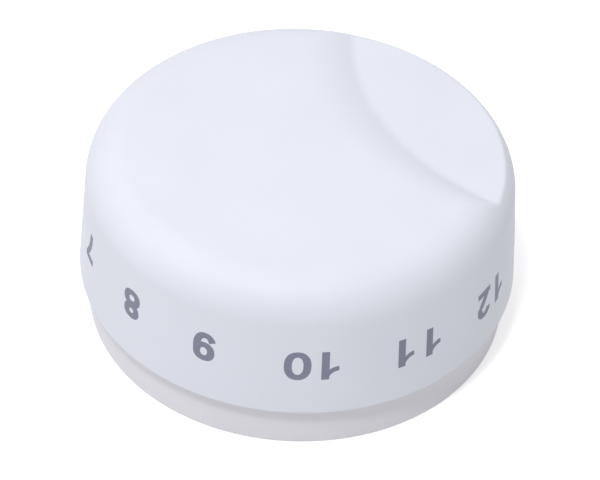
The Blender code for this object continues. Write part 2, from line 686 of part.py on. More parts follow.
def make_index_plate():
    """Stamped cover: one detent hole for each position, screw holes, and a tab bent down out of a slot."""
    outline = [
        (PLATE_RADIUS, PLATE_TOP),
        (PLATE_RADIUS, PLATE_BOTTOM),
        (SPINDLE_HOLE_RADIUS, PLATE_BOTTOM),
        (SPINDLE_HOLE_RADIUS, PLATE_TOP),
    ]
    plate = add_part("index_plate", profile_mesh("index_plate", outline, True), ZINCED)
    turn(plate, MID_STEPS)
    low = PLATE_BOTTOM - SINK
    high = PLATE_TOP + SINK
    headings = [BALL_HEADING + PITCH * step for step in range(POSITIONS)]
    holes = rods_mesh("detent_holes", DETENT_HOLE_RADIUS, low, high, DETENT_CIRCLE, headings, PIN_STEPS)
    screws = rods_mesh("plate_screw_holes", SCREW_HOLE_RADIUS, low, high, BOSS_CIRCLE, SCREW_HEADINGS, PIN_STEPS)
    slot_length = TAB_LENGTH
    slot_start = STOP_RADIUS + PLATE_THICKNESS
    slot = blocks_mesh(
        "tab_slot",
        (slot_length, TAB_WIDTH + SEAT_GAP, 3 * PLATE_THICKNESS),
        (slot_start + slot_length / 2, 0.0, (low + high) / 2),
        [TAB_HEADING],
    )
    cut(plate, add_tool("detent_holes", holes), add_tool("plate_screw_holes", screws), add_tool("tab_slot", slot))
    tab = blocks_mesh(
        "stop_tab",
        (PLATE_THICKNESS, TAB_WIDTH, TAB_LENGTH + PLATE_THICKNESS / 2),
        (STOP_RADIUS, 0.0, PLATE_BOTTOM - TAB_LENGTH / 2 + PLATE_THICKNESS / 4),
        [TAB_HEADING],
    )
    join(plate, add_tool("stop_tab", tab))
    return plate


def make_screws():
    """Pan-head self-tapping screws with a cross drive, down through the plate into the base's bosses."""
    edge = SCREW_HEAD_EDGE
    profile = [
        (0.0, SCREW_HEAD_HEIGHT),
        (SCREW_HEAD_RADIUS - 2 * edge, SCREW_HEAD_HEIGHT),
        (SCREW_HEAD_RADIUS - edge / 2, SCREW_HEAD_HEIGHT - edge),
        (SCREW_HEAD_RADIUS, edge),
        (SCREW_HEAD_RADIUS, 0.0),
        (SCREW_RADIUS, 0.0),
        (SCREW_RADIUS, SCREW_TIP - SCREW_LENGTH),
        (0.0, -SCREW_LENGTH),
    ]
    blank = add_tool("screw_blank", profile_mesh("screw_blank", profile, False))
    turn(blank, PIN_STEPS)
    size = (DRIVE_LENGTH, DRIVE_WIDTH, 2 * DRIVE_DEPTH)
    for heading in (0.0, math.pi / 2):
        slot = blocks_mesh("drive_slot", size, (0.0, 0.0, SCREW_HEAD_HEIGHT), [heading])
        cut(blank, add_tool("drive_slot", slot))
    mesh = settled_mesh(blank)
    for number, heading in enumerate(SCREW_HEADINGS, start=1):
        place = on_circle(BOSS_CIRCLE, heading, PLATE_TOP + SEAT_GAP)
        smooth(add_part(f"plate_screw_{number}", mesh, ZINCED, place, heading))


def make_detents(parent):
    """A coil spring and a ball in each pocket of the rotor. Each ball's origin is its centre."""
    shape = bmesh.new()
    bmesh.ops.create_uvsphere(shape, u_segments=SMALL_STEPS, v_segments=BALL_RINGS, radius=BALL_RADIUS)
    ball = bpy.data.meshes.new("detent_ball")
    shape.to_mesh(ball)
    shape.free()
    spring = spring_curve()
    for number, heading in enumerate(BALL_HEADINGS, start=1):
        smooth(add_part(f"detent_ball_{number}", ball, STEEL, on_circle(DETENT_CIRCLE, heading, BALL_CENTRE), 0.0, parent))
        seat = on_circle(DETENT_CIRCLE, heading, SPRING_BOTTOM)
        add_part(f"detent_spring_{number}", spring, SPRING_STEEL, seat, 0.0, parent)


def spring_curve():
    """A coil that stands on Z = 0: points along a helix, with the wire as the curve's bevel."""
    curve = bpy.data.curves.new("detent_spring", "CURVE")
    curve.dimensions = "3D"
    curve.bevel_depth = SPRING_WIRE_RADIUS
    curve.bevel_resolution = 2
    curve.use_fill_caps = True
    count = round(SPRING_TURNS * SPRING_STEPS)
    line = curve.splines.new("POLY")
    line.points.add(count)
    rise = SPRING_HEIGHT - 2 * SPRING_WIRE_RADIUS
    for i, point in enumerate(line.points):
        part = i / count
        place = on_circle(SPRING_COIL_RADIUS, part * SPRING_TURNS * math.tau, SPRING_WIRE_RADIUS + part * rise)
        point.co = (*place, 1.0)
    return curve


def make_clip(parent):
    """Leaf spring: down the spindle's flat, under the hub's edge and a little way up its outside."""
    inside = SPINDLE_FLAT + SEAT_GAP + CLIP_THICKNESS / 2
    outside = HUB_RADIUS + SEAT_GAP + CLIP_THICKNESS / 2
    under = HUB_BOTTOM - SEAT_GAP - CLIP_THICKNESS / 2
    corner = CLIP_CORNER
    path = [
        (inside, SPINDLE_TOP - CLIP_TOP_GAP),
        (inside, under + corner),
        (inside + corner, under),
        (outside - corner, under),
        (outside, under + corner),
        (outside, HUB_BOTTOM + CLIP_LEG),
    ]
    return strip("shaft_clip", path, CLIP_WIDTH, CLIP_THICKNESS, SPRING_STEEL, parent)


clear_scene()
PARTS = make_collection("cooktop_selector_switch")
TOOLS = make_collection("tools")
WHITE_CAP = finish("white_cap", (0.82, 0.84, 0.89), 0.38)
WHITE_BASE = finish("white_base", (0.80, 0.80, 0.82), 0.42)
PHENOLIC = finish("phenolic_board", (0.32, 0.20, 0.10), 0.6)
SILVERED = finish("silvered_brass", (0.86, 0.84, 0.78), 0.25, 1.0)
BRONZE = finish("spring_bronze", (0.72, 0.46, 0.22), 0.3, 1.0)
ACETAL = finish("acetal", (0.07, 0.07, 0.08), 0.4)
ZINCED = finish("zinc_plated_steel", (0.68, 0.70, 0.72), 0.35, 1.0)
STEEL = finish("ball_steel", (0.75, 0.76, 0.78), 0.12, 1.0)
SPRING_STEEL = finish("spring_steel", (0.45, 0.46, 0.48), 0.3, 1.0)

dial_axis = bpy.data.objects.new("dial_axis", None)
PARTS.objects.link(dial_axis)

make_base()
make_board()
make_common()
make_contacts()
make_index_plate()
make_screws()
make_rotor(dial_axis)
make_wiper(dial_axis)
make_detents(dial_axis)
make_clip(dial_axis)
make_cap(dial_axis)
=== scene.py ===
import math

import bmesh
import bpy
import numpy as np
from mathutils import Matrix, Vector


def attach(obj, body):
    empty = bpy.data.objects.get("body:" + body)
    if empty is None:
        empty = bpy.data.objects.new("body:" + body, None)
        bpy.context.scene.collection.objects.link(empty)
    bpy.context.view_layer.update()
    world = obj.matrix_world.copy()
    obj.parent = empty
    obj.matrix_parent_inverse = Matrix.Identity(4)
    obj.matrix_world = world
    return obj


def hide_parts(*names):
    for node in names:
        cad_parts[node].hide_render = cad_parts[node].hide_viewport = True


millimetre = 0.001
weldGap = 0.0000005      # points nearer than this become one, in metres
flatGap = 0.0000001      # edges shorter than this go, in metres
positions = 13
pitch = 360.0 / positions

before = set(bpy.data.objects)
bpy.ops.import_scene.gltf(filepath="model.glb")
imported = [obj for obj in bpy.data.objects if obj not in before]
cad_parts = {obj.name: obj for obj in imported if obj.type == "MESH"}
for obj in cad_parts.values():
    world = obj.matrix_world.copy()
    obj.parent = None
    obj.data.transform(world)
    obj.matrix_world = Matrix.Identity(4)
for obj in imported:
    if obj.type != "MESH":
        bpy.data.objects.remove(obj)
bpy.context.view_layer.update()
print("frame loaded:", len(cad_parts), "nodes")


def rounded(corners, closed=False, steps=4, guard=0.06):
    # each corner (x, y, radius) becomes an arc that touches both its sides at radius / tan(half its angle);
    # a guard point just outside each end of the arc keeps the flats flat when the shading is smooth
    count = len(corners)
    places = [np.array(corner[:2], float) for corner in corners]
    radii = [corner[2] for corner in corners]
    points = []
    for i, (here, radius) in enumerate(zip(places, radii)):
        if radius == 0 or (not closed and i in (0, count - 1)):
            points.append(here)
            continue
        before = places[i - 1] - here
        after = places[(i + 1) % count] - here
        before /= np.linalg.norm(before)
        after /= np.linalg.norm(after)
        half = 0.5 * math.acos(np.clip(before @ after, -1, 1))
        reach = radius / math.tan(half)
        middle = (before + after) / np.linalg.norm(before + after)
        centre = here + middle * radius / math.sin(half)
        start = here + before * reach - centre
        end = here + after * reach - centre
        turn = math.pi - 2 * half
        s = np.linspace(0, 1, steps + 1)[:, None]
        sweep = centre + (np.sin((1 - s) * turn) * start + np.sin(s * turn) * end) / math.sin(turn)
        points.append(here + before * (reach + guard))
        points.extend(sweep)
        points.append(here + after * (reach + guard))
    return np.array(points)


def turnedGrid(profile, headings):
    # point (i, j) is the profile's point i, a radius and a height, turned to heading j about Z
    angle = np.radians(headings)[None, :]
    radius = profile[:, 0][:, None]
    height = np.repeat(profile[:, 1][:, None], len(headings), axis=1)
    return np.stack([radius * np.cos(angle), radius * np.sin(angle), height], axis=-1)


def circleSteps(count, start=0.0):
    # evenly spaced headings once round, from a start
    return start + np.arange(count) * 360.0 / count


def placedGrid(grid, radius=0.0, heading=0.0):
    # the whole grid turned to a heading about Z and moved out to a radius along it
    angle = math.radians(heading)
    c, s = math.cos(angle), math.sin(angle)
    turn = np.array([[c, s, 0], [-s, c, 0], [0, 0, 1]])
    return (grid + np.array([radius, 0, 0])) @ turn


def gridFaces(rows, columns, wrapRows, wrapColumns):
    # quad (i, j) joins point (i, j) to its neighbours at i + 1 and j + 1, counted round where an axis wraps
    rowSteps = np.arange(rows if wrapRows else rows - 1)
    columnSteps = np.arange(columns if wrapColumns else columns - 1)
    i, j = (steps.ravel() for steps in np.meshgrid(rowSteps, columnSteps, indexing="ij"))
    up, right = (i + 1) % rows, (j + 1) % columns
    return np.stack([i * columns + j, up * columns + j, up * columns + right, i * columns + right], axis=1)


def gridsMesh(name, grids, wrapRows=False, wrapColumns=True, caps=False, sharpAngle=40):
    # several grids of points as one mesh: a quad for each cell, end loops filled where caps is set,
    # doubles merged at the poles, and the faces turned outwards
    mesh = bpy.data.meshes.new(name)
    points, faces, offset = [], [], 0
    for grid in grids:
        rows, columns = grid.shape[:2]
        points.append(grid.reshape(-1, 3))
        faces.extend((gridFaces(rows, columns, wrapRows, wrapColumns) + offset).tolist())
        if caps:
            faces.append((np.arange(columns)[::-1] + offset).tolist())
            faces.append((np.arange(columns) + offset + (rows - 1) * columns).tolist())
        offset += rows * columns
    mesh.from_pydata(np.concatenate(points) * millimetre, [], faces)
    shape = bmesh.new()
    shape.from_mesh(mesh)
    bmesh.ops.remove_doubles(shape, verts=shape.verts, dist=weldGap)
    bmesh.ops.dissolve_degenerate(shape, edges=shape.edges, dist=flatGap)
    bmesh.ops.recalc_face_normals(shape, faces=shape.faces)
    shape.to_mesh(mesh)
    shape.free()
    finishShading(mesh, sharpAngle)
    return mesh


def finishShading(mesh, sharpAngle):
    # smooth, but sharp where faces meet at more than the angle
    mesh.shade_smooth()
    mesh.set_sharp_from_angle(angle=math.radians(sharpAngle))


def makePiece(name, mesh, material, body, stands=()):
    # a mesh with its finish, the body it rides on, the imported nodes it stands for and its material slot
    piece = bpy.data.objects.new(name, mesh)
    bpy.context.scene.collection.objects.link(piece)
    mesh.materials.clear()
    mesh.materials.append(material)
    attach(piece, body)
    if stands:
        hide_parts(*stands)
    return piece


def combined(name, mesh, steps, sharpAngle=35):
    # the mesh after each Boolean step, an operation and a tool's mesh, as plain mesh data
    work = bpy.data.objects.new(name + "_work", mesh)
    bpy.context.scene.collection.objects.link(work)
    tools = []
    for operation, toolMesh in steps:
        tool = bpy.data.objects.new(name + "_tool", toolMesh)
        bpy.context.scene.collection.objects.link(tool)
        tools.append(tool)
        step = work.modifiers.new(operation.lower(), "BOOLEAN")
        step.operation = operation
        step.solver = "EXACT"
        step.object = tool
    bpy.context.view_layer.update()
    graph = bpy.context.evaluated_depsgraph_get()
    result = bpy.data.meshes.new_from_object(work.evaluated_get(graph))
    for item in tools + [work]:
        bpy.data.objects.remove(item, do_unlink=True)
    result.name = name
    finishShading(result, sharpAngle)
    return result


def newFinish(name, roughness, metallic=0.0):
    # a node material with its tree and shader
    material = bpy.data.materials.new(name)
    material.use_nodes = True
    tree = material.node_tree
    shader = tree.nodes["Principled BSDF"]
    shader.inputs["Roughness"].default_value = roughness
    shader.inputs["Metallic"].default_value = metallic
    return material, tree, shader


def objectPlace(tree, stretch=(1, 1, 1)):
    # places on the object, with a pattern drawn finer along an axis by its stretch
    place = tree.nodes.new("ShaderNodeTexCoord")
    mapping = tree.nodes.new("ShaderNodeMapping")
    mapping.inputs["Scale"].default_value = stretch
    tree.links.new(place.outputs["Object"], mapping.inputs["Vector"])
    return mapping.outputs["Vector"]


def noise(tree, place, grain, detail=3.0, roughness=0.5):
    # grain is the size of the pattern's cells in millimetres
    node = tree.nodes.new("ShaderNodeTexNoise")
    node.inputs["Scale"].default_value = 1 / (grain * millimetre)
    node.inputs["Detail"].default_value = detail
    node.inputs["Roughness"].default_value = roughness
    tree.links.new(place, node.inputs["Vector"])
    return node.outputs["Fac"]


def spread(tree, factor, stops):
    # a colour ramp from (position, colour) stops
    node = tree.nodes.new("ShaderNodeValToRGB")
    elements = node.color_ramp.elements
    while len(elements) < len(stops):
        elements.new(0.5)
    for element, (position, colour) in zip(elements, stops):
        element.position = position
        element.color = (*colour, 1.0)
    tree.links.new(factor, node.inputs["Fac"])
    return node.outputs["Color"]


def between(tree, factor, low, high):
    # the factor spread over low to high, for roughness
    node = tree.nodes.new("ShaderNodeMapRange")
    node.inputs["From Min"].default_value = 0.3
    node.inputs["From Max"].default_value = 0.7
    node.inputs["To Min"].default_value = low
    node.inputs["To Max"].default_value = high
    tree.links.new(factor, node.inputs["Value"])
    return node.outputs["Result"]


def relief(tree, shader, layers):
    # bump layers (height, depth in millimetres, strength), each laid over the one before
    last = None
    for height, depth, strength in layers:
        node = tree.nodes.new("ShaderNodeBump")
        node.inputs["Distance"].default_value = depth * millimetre
        node.inputs["Strength"].default_value = strength
        tree.links.new(height, node.inputs["Height"])
        if last:
            tree.links.new(last, node.inputs["Normal"])
        last = node.outputs["Normal"]
    tree.links.new(last, shader.inputs["Normal"])


def tone(colour, factor):
    # the colour made lighter or darker by a factor
    return tuple(min(1.0, channel * factor) for channel in colour)


plastics = {
    "capColour": (0.807, 0.8275, 0.914),
    "baseColour": (0.829, 0.818, 0.877),
    "capRoughness": (0.48, 0.58),
    "baseRoughness": (0.50, 0.60),
    "gloss": 0.35,
    "cloud": 9.0,      # size of the faint tone changes
    "hollow": 9.0,     # size of the slow hollows
    "texture": 0.09,   # size of the moulded skin's grain
}


def mouldedPlastic(name, colour, roughness):
    # satin moulding: faint clouds of tone, a fine spark texture and slow hollows from shrinkage
    material, tree, shader = newFinish(name, sum(roughness) / 2)
    place = objectPlace(tree)
    cloud = noise(tree, place, plastics["cloud"], 2.0)
    skin = noise(tree, place, plastics["texture"], 2.0, 0.6)
    colours = spread(tree, cloud, [(0.3, tone(colour, 0.985)), (0.7, tone(colour, 1.01))])
    tree.links.new(colours, shader.inputs["Base Color"])
    tree.links.new(between(tree, skin, *roughness), shader.inputs["Roughness"])
    shader.inputs["IOR"].default_value = 1.5
    shader.inputs["Specular IOR Level"].default_value = plastics["gloss"]
    slow = noise(tree, place, plastics["hollow"], 1.0)
    relief(tree, shader, [(slow, 0.03, 0.35), (skin, 0.006, 0.5)])
    return material


inks = {"colour": (0.205, 0.221, 0.300), "roughness": (0.45, 0.6), "mottle": 0.25}


def printedInk(name):
    # pad-printed ink: almost even, with a fine mottle where it lies thinner
    material, tree, shader = newFinish(name, 0.5)
    place = objectPlace(tree)
    mottle = noise(tree, place, inks["mottle"], 3.0, 0.6)
    colour = inks["colour"]
    colours = spread(tree, mottle, [(0.25, tone(colour, 0.9)), (0.75, tone(colour, 1.15))])
    tree.links.new(colours, shader.inputs["Base Color"])
    tree.links.new(between(tree, mottle, *inks["roughness"]), shader.inputs["Roughness"])
    relief(tree, shader, [(mottle, 0.004, 0.4)])
    return material


metals = {
    "silverPlate": {
        "tones": [(0.25, (0.70, 0.66, 0.58)), (0.5, (0.84, 0.82, 0.78)), (0.8, (0.90, 0.89, 0.87))],
        "roughness": (0.22, 0.38), "grain": 0.35, "stretch": (1, 1, 1), "depth": 0.004,
    },
    "springBronze": {
        "tones": [(0.25, (0.52, 0.30, 0.12)), (0.55, (0.70, 0.44, 0.20)), (0.8, (0.80, 0.54, 0.28))],
        "roughness": (0.24, 0.40), "grain": 0.5, "stretch": (1, 14, 14), "depth": 0.004,
    },
    "zincPlate": {
        "tones": [(0.2, (0.50, 0.52, 0.55)), (0.5, (0.66, 0.68, 0.71)), (0.8, (0.76, 0.77, 0.76))],
        "roughness": (0.28, 0.46), "grain": 0.8, "stretch": (1, 1, 1), "depth": 0.006,
    },
    "ballSteel": {
        "tones": [(0.3, (0.70, 0.71, 0.73)), (0.7, (0.78, 0.79, 0.81))],
        "roughness": (0.06, 0.13), "grain": 0.3, "stretch": (1, 1, 1), "depth": 0.001,
    },
    "springSteel": {
        "tones": [(0.25, (0.30, 0.31, 0.33)), (0.6, (0.45, 0.46, 0.48)), (0.8, (0.56, 0.56, 0.57))],
        "roughness": (0.22, 0.36), "grain": 0.25, "stretch": (6, 1, 1), "depth": 0.003,
    },
}


def metalFinish(name, look):
    # metal whose tone, roughness and fine relief all follow one stretched noise over a larger cloud
    material, tree, shader = newFinish(name, sum(look["roughness"]) / 2, 1.0)
    fine = noise(tree, objectPlace(tree, look["stretch"]), look["grain"], 4.0, 0.6)
    cloud = noise(tree, objectPlace(tree), look["grain"] * 6, 2.0)
    tree.links.new(spread(tree, cloud, look["tones"]), shader.inputs["Base Color"])
    tree.links.new(between(tree, fine, *look["roughness"]), shader.inputs["Roughness"])
    relief(tree, shader, [(fine, look["depth"], 0.5)])
    return material


mouldings = {
    "acetalColour": (0.030, 0.031, 0.035),
    "phenolicTones": ((0.16, 0.085, 0.035), (0.33, 0.19, 0.085)),
}


def acetalFinish(name):
    # black acetal: a waxy skin with flow lines
    material, tree, shader = newFinish(name, 0.36)
    place = objectPlace(tree)
    flow = noise(tree, objectPlace(tree, (1, 1, 5)), 2.5, 3.0)
    skin = noise(tree, place, 0.12, 2.0)
    colour = mouldings["acetalColour"]
    colours = spread(tree, flow, [(0.3, tone(colour, 0.8)), (0.7, tone(colour, 1.35))])
    tree.links.new(colours, shader.inputs["Base Color"])
    tree.links.new(between(tree, flow, 0.30, 0.42), shader.inputs["Roughness"])
    relief(tree, shader, [(flow, 0.02, 0.3), (skin, 0.004, 0.5)])
    return material


def phenolicFinish(name):
    # paper laminate: brown resin with long paler fibres, satin pressed skin
    material, tree, shader = newFinish(name, 0.5)
    fibre = noise(tree, objectPlace(tree, (1, 9, 3)), 1.4, 6.0, 0.65)
    fleck = noise(tree, objectPlace(tree), 0.25, 3.0, 0.6)
    dark, pale = mouldings["phenolicTones"]
    colours = spread(tree, fibre, [(0.3, dark), (0.5, tone(pale, 0.8)), (0.72, pale)])
    tree.links.new(colours, shader.inputs["Base Color"])
    tree.links.new(between(tree, fleck, 0.38, 0.58), shader.inputs["Roughness"])
    relief(tree, shader, [(fibre, 0.01, 0.4), (fleck, 0.004, 0.4)])
    return material


capPlastic = mouldedPlastic("cap_plastic", plastics["capColour"], plastics["capRoughness"])
basePlastic = mouldedPlastic("base_plastic", plastics["baseColour"], plastics["baseRoughness"])
numeralInk = printedInk("numeral_ink")
silverPlate = metalFinish("silver_plate", metals["silverPlate"])
springBronze = metalFinish("spring_bronze", metals["springBronze"])
zincPlate = metalFinish("zinc_plate", metals["zincPlate"])
ballSteel = metalFinish("ball_steel", metals["ballSteel"])
springSteel = metalFinish("spring_steel", metals["springSteel"])
blackAcetal = acetalFinish("black_acetal")
brownPhenolic = phenolicFinish("brown_phenolic")
print("finishes made")

cap = {
    "radius": 22.0,
    "rim": 4.9,
    "top": 19.5,
    "draft": 0.8,
    "wall": 1.9,
    "roof": 2.2,
    "edgeRadius": 4.0,
    "innerRadius": 1.5,
    "rimRounding": 0.3,
    "fineFrom": -22.0,   # the headings between which the recess needs close columns
    "fineTo": 90.0,
    "fineStep": 0.5,
    "coarseStep": 1.5,
    "filletSteps": 12,
}
recess = {
    "depth": 1.15,
    "crestRadius": 25.9,
    "crestOffset": 30.4,
    "crestHeading": 33.8,
    "floorRadius": 28.4,
    "floorOffset": 38.6,
    "floorHeading": 31.4,
    "turn": 0.81,         # the share of the way down the ramp at which it stops steepening
    "edgeBlend": 0.16,
}
hub = {"radius": 4.9, "bore": 3.3, "flat": 3.1, "bottom": 12.337, "rounding": 0.2, "count": 6,
       "ribThickness": 0.9, "ribDepth": 1.2, "ribRounding": 0.2}


def recessDrop(x, y):
    # how far the recess lies below the top: share is the way from the crest arc to the floor arc, and the
    # ramp falls by its square over the turn up to the turn, then eases on to the floor by the square of
    # what is left
    crest = np.radians(recess["crestHeading"])
    foot = np.radians(recess["floorHeading"])
    crestX, crestY = recess["crestOffset"] * np.cos(crest), recess["crestOffset"] * np.sin(crest)
    footX, footY = recess["floorOffset"] * np.cos(foot), recess["floorOffset"] * np.sin(foot)
    a = recess["crestRadius"] - np.hypot(x - crestX, y - crestY)
    b = np.hypot(x - footX, y - footY) - recess["floorRadius"]
    share = np.clip(np.where(b <= 0, 1, a / np.maximum(a + np.maximum(b, 0), 0.05)), 0, 1)
    turn = recess["turn"]
    ramp = np.where(share < turn, share**2 / turn, 1 - (1 - share)**2 / (1 - turn))
    return recess["depth"] * ramp * (a > 0)


def softLeast(first, second, ease):
    # the lesser of two heights, eased by a parabola where they are nearer than ease to each other
    ease = np.maximum(ease, 1e-6)
    near = np.maximum(ease - np.abs(first - second), 0) / ease
    return np.minimum(first, second) - near**2 * ease / 4


def floorLine(headings):
    # the radius at which the ray at each heading meets the floor arc, kept inside the rounded edge
    across = np.radians(headings - recess["floorHeading"])
    inside = recess["floorRadius"]**2 - (recess["floorOffset"] * np.sin(across))**2
    meets = (inside > 0) & (np.cos(across) > 0)
    radius = recess["floorOffset"] * np.cos(across) - np.sqrt(np.maximum(inside, 0))
    return np.where(meets, radius, 99.0)


def capShellGrid():
    # rows run from the middle of the top out to the rim and back under the roof; the upper rows bend with
    # the floor line so that the foot of the ramp lies along a row, and their height is the rounded top
    # less the drop
    coarse = round((360 - cap["fineTo"] + cap["fineFrom"]) / cap["coarseStep"])
    headings = np.concatenate([
        np.arange(cap["fineFrom"], cap["fineTo"], cap["fineStep"]),
        np.linspace(cap["fineTo"], cap["fineFrom"] + 360, coarse, endpoint=False),
    ])
    centre = cap["radius"] - cap["draft"] - cap["edgeRadius"]
    drop = 1 - recess["depth"] / cap["edgeRadius"]
    floorEdge = centre + cap["edgeRadius"] * math.sqrt(1 - drop**2)
    near = np.array([-0.45, -0.25, -0.12, -0.04, 0.04, 0.12, 0.25, 0.45])
    line = np.minimum(floorLine(headings), floorEdge - 1.2)[None, :]
    inner = np.linspace(0, 1, 48, endpoint=False)[:, None] * (line + near[0])
    foot = line + near[:, None]
    outer = foot[-1] + np.linspace(0, 1, 15, endpoint=False)[1:, None] * (floorEdge + near[0] - foot[-1])
    edge = np.repeat((floorEdge + near)[:, None], len(headings), axis=1)
    first = math.asin((floorEdge + near[-1] - centre) / cap["edgeRadius"])
    slope = math.atan(cap["draft"] / (cap["top"] - cap["edgeRadius"] - cap["rim"]))
    turn = np.linspace(first, math.pi / 2 - slope, cap["filletSteps"] + 1)[1:]
    fillet = np.repeat((centre + cap["edgeRadius"] * np.sin(turn))[:, None], len(headings), axis=1)
    radius = np.concatenate([inner, foot, outer, edge, fillet])
    angle = np.radians(headings)[None, :]
    x, y = radius * np.cos(angle), radius * np.sin(angle)
    fall = recessDrop(x, y)
    past = np.clip(radius - centre, 0, cap["edgeRadius"])
    shoulder = cap["top"] - cap["edgeRadius"] + np.sqrt(cap["edgeRadius"]**2 - past**2)
    height = softLeast(cap["top"] - fall, shoulder, recess["edgeBlend"] * fall)
    upper = np.stack([x, y, height], axis=-1)
    bore = cap["radius"] - cap["wall"]
    lower = rounded([
        (radius[-1, 0], height[-1, 0], 0),
        (cap["radius"], cap["rim"], cap["rimRounding"]),
        (bore, cap["rim"], cap["rimRounding"]),
        (bore - cap["draft"], cap["top"] - cap["roof"], cap["innerRadius"]),
        (0.0, cap["top"] - cap["roof"], 0),
    ], steps=6)
    side = np.linspace(lower[0], lower[1], 11)[1:-1]
    return np.concatenate([upper, turnedGrid(np.concatenate([side, lower[1:]]), headings)])


def hubGrid():
    # a tube whose outer wall is round and whose bore is the lesser of a circle and a flat at right angles
    # to X
    half = math.degrees(math.acos(hub["flat"] / hub["bore"]))
    corners = [side * half + near for side in (-1, 1) for near in (-0.4, 0.0, 0.4)]
    headings = np.unique(np.concatenate([circleSteps(90, -180.0), corners]))
    top = cap["top"] - cap["roof"] + 0.3
    profile = rounded([
        (hub["radius"], top, 0), (hub["radius"], hub["bottom"], hub["rounding"]),
        (hub["bore"], hub["bottom"], hub["rounding"]), (hub["bore"], top, 0),
    ], steps=4)
    grid = turnedGrid(profile, headings)
    angle = np.radians(headings)
    level = np.where(np.abs(headings) < half, hub["flat"] / np.cos(angle), hub["bore"])
    share = np.clip((hub["radius"] - profile[:, 0]) / (hub["radius"] - hub["bore"]), 0, 1)[:, None]
    radius = hub["radius"] + share * (level[None, :] - hub["radius"])
    return np.stack([radius * np.cos(angle), radius * np.sin(angle), grid[..., 2]], axis=-1)


def ribGrid(heading):
    # a bar's rounded section carried out along the roof from the hub into the wall
    half = hub["ribThickness"] / 2
    low = cap["top"] - cap["roof"] - hub["ribDepth"]
    section = rounded([(half, low + hub["ribDepth"] + 0.3, 0), (half, low, hub["ribRounding"]),
                       (-half, low, hub["ribRounding"]), (-half, low + hub["ribDepth"] + 0.3, 0)], steps=3)
    reach = np.linspace(hub["radius"] - 0.4, cap["radius"] - cap["draft"] - cap["wall"] + 0.5, 8)
    grid = np.stack([np.repeat(reach[:, None], len(section), 1),
                     np.repeat(section[:, 0][None, :], len(reach), 0),
                     np.repeat(section[:, 1][None, :], len(reach), 0)], axis=-1)
    return placedGrid(grid, heading=heading)


def capPiece(name, grids, **shape):
    # a piece of the cap, which rides on the dial and stands for the cap's solid
    mesh = gridsMesh(name, grids, **shape)
    return makePiece(name, mesh, capPlastic, "dial", ["dial_cap"])


capShell = capPiece("cap_shell", [capShellGrid()], sharpAngle=60)
capPiece("cap_hub", [hubGrid()], wrapRows=True)
ribHeadings = [360.0 * (i + 0.5) / hub["count"] for i in range(hub["count"])]
capPiece("cap_ribs", [ribGrid(h) for h in ribHeadings], caps=True)
print("dial cap made:", len(capShell.data.polygons), "faces")

numerals = {
    "height": 3.42,
    "headings": [0, 28.7, 57.4, 86.1, 114.8, 143.5, 172.2, 201.7, 225.4, 248.9, 277.4, 306.0, 334.1],
    "middle": 11.12,     # height of the print's middle line above the seating face, at right angles to X
    "lean": 0.69,        # how far that line stands higher at heading 180 and lower at heading 0
    "advance": 0.93,     # from one figure to the next, as a share of the height
    "proud": 0.015,
    "sunk": 0.06,
    "stem": 0.225,       # width of upright strokes, as a share of the height
    "bar": 0.19,         # width of level strokes
    "square": 0.88,      # below 1 the bowls are squarer than ellipses
    "steps": 40,
    "lift": 0.002,       # how much higher each further stroke of a figure lies
}


def bowl(x, y, reachX, reachY, start=0.0, end=360.0):
    # two edges of a bent stroke: the same arc of a squared ellipse, outside and a stroke's width further in
    count = max(8, round(numerals["steps"] * abs(end - start) / 360))
    turn = np.radians(np.linspace(start, end, count + 1))
    c, s = np.cos(turn), np.sin(turn)
    power = numerals["square"]
    unit = np.stack([np.sign(c) * np.abs(c)**power, np.sign(s) * np.abs(s)**power], axis=-1)
    outside = np.array([x, y]) + unit * [reachX, reachY]
    inside = np.array([x, y]) + unit * [reachX - numerals["stem"], reachY - numerals["bar"]]
    return outside, inside


def straight(first, second):
    # two straight edges, each from one point to another, in steps short enough to bend round the wall
    s = np.linspace(0, 1, 11)[:, None]
    return tuple(np.array(a) + s * (np.array(b) - np.array(a)) for a, b in (first, second))


def curved(first, second):
    # two edges, each a smooth curve through three points at even shares of the way
    s = np.linspace(0, 1, 13)[:, None]
    weights = (2 * (s - 0.5) * (s - 1), 4 * s * (1 - s), 2 * s * (s - 0.5))
    return tuple(sum(w * np.array(p) for w, p in zip(weights, points)) for points in (first, second))


def block(left, right, low, high):
    # the two long edges of an upright rectangle
    return straight(((left, low), (right, low)), ((left, high), (right, high)))


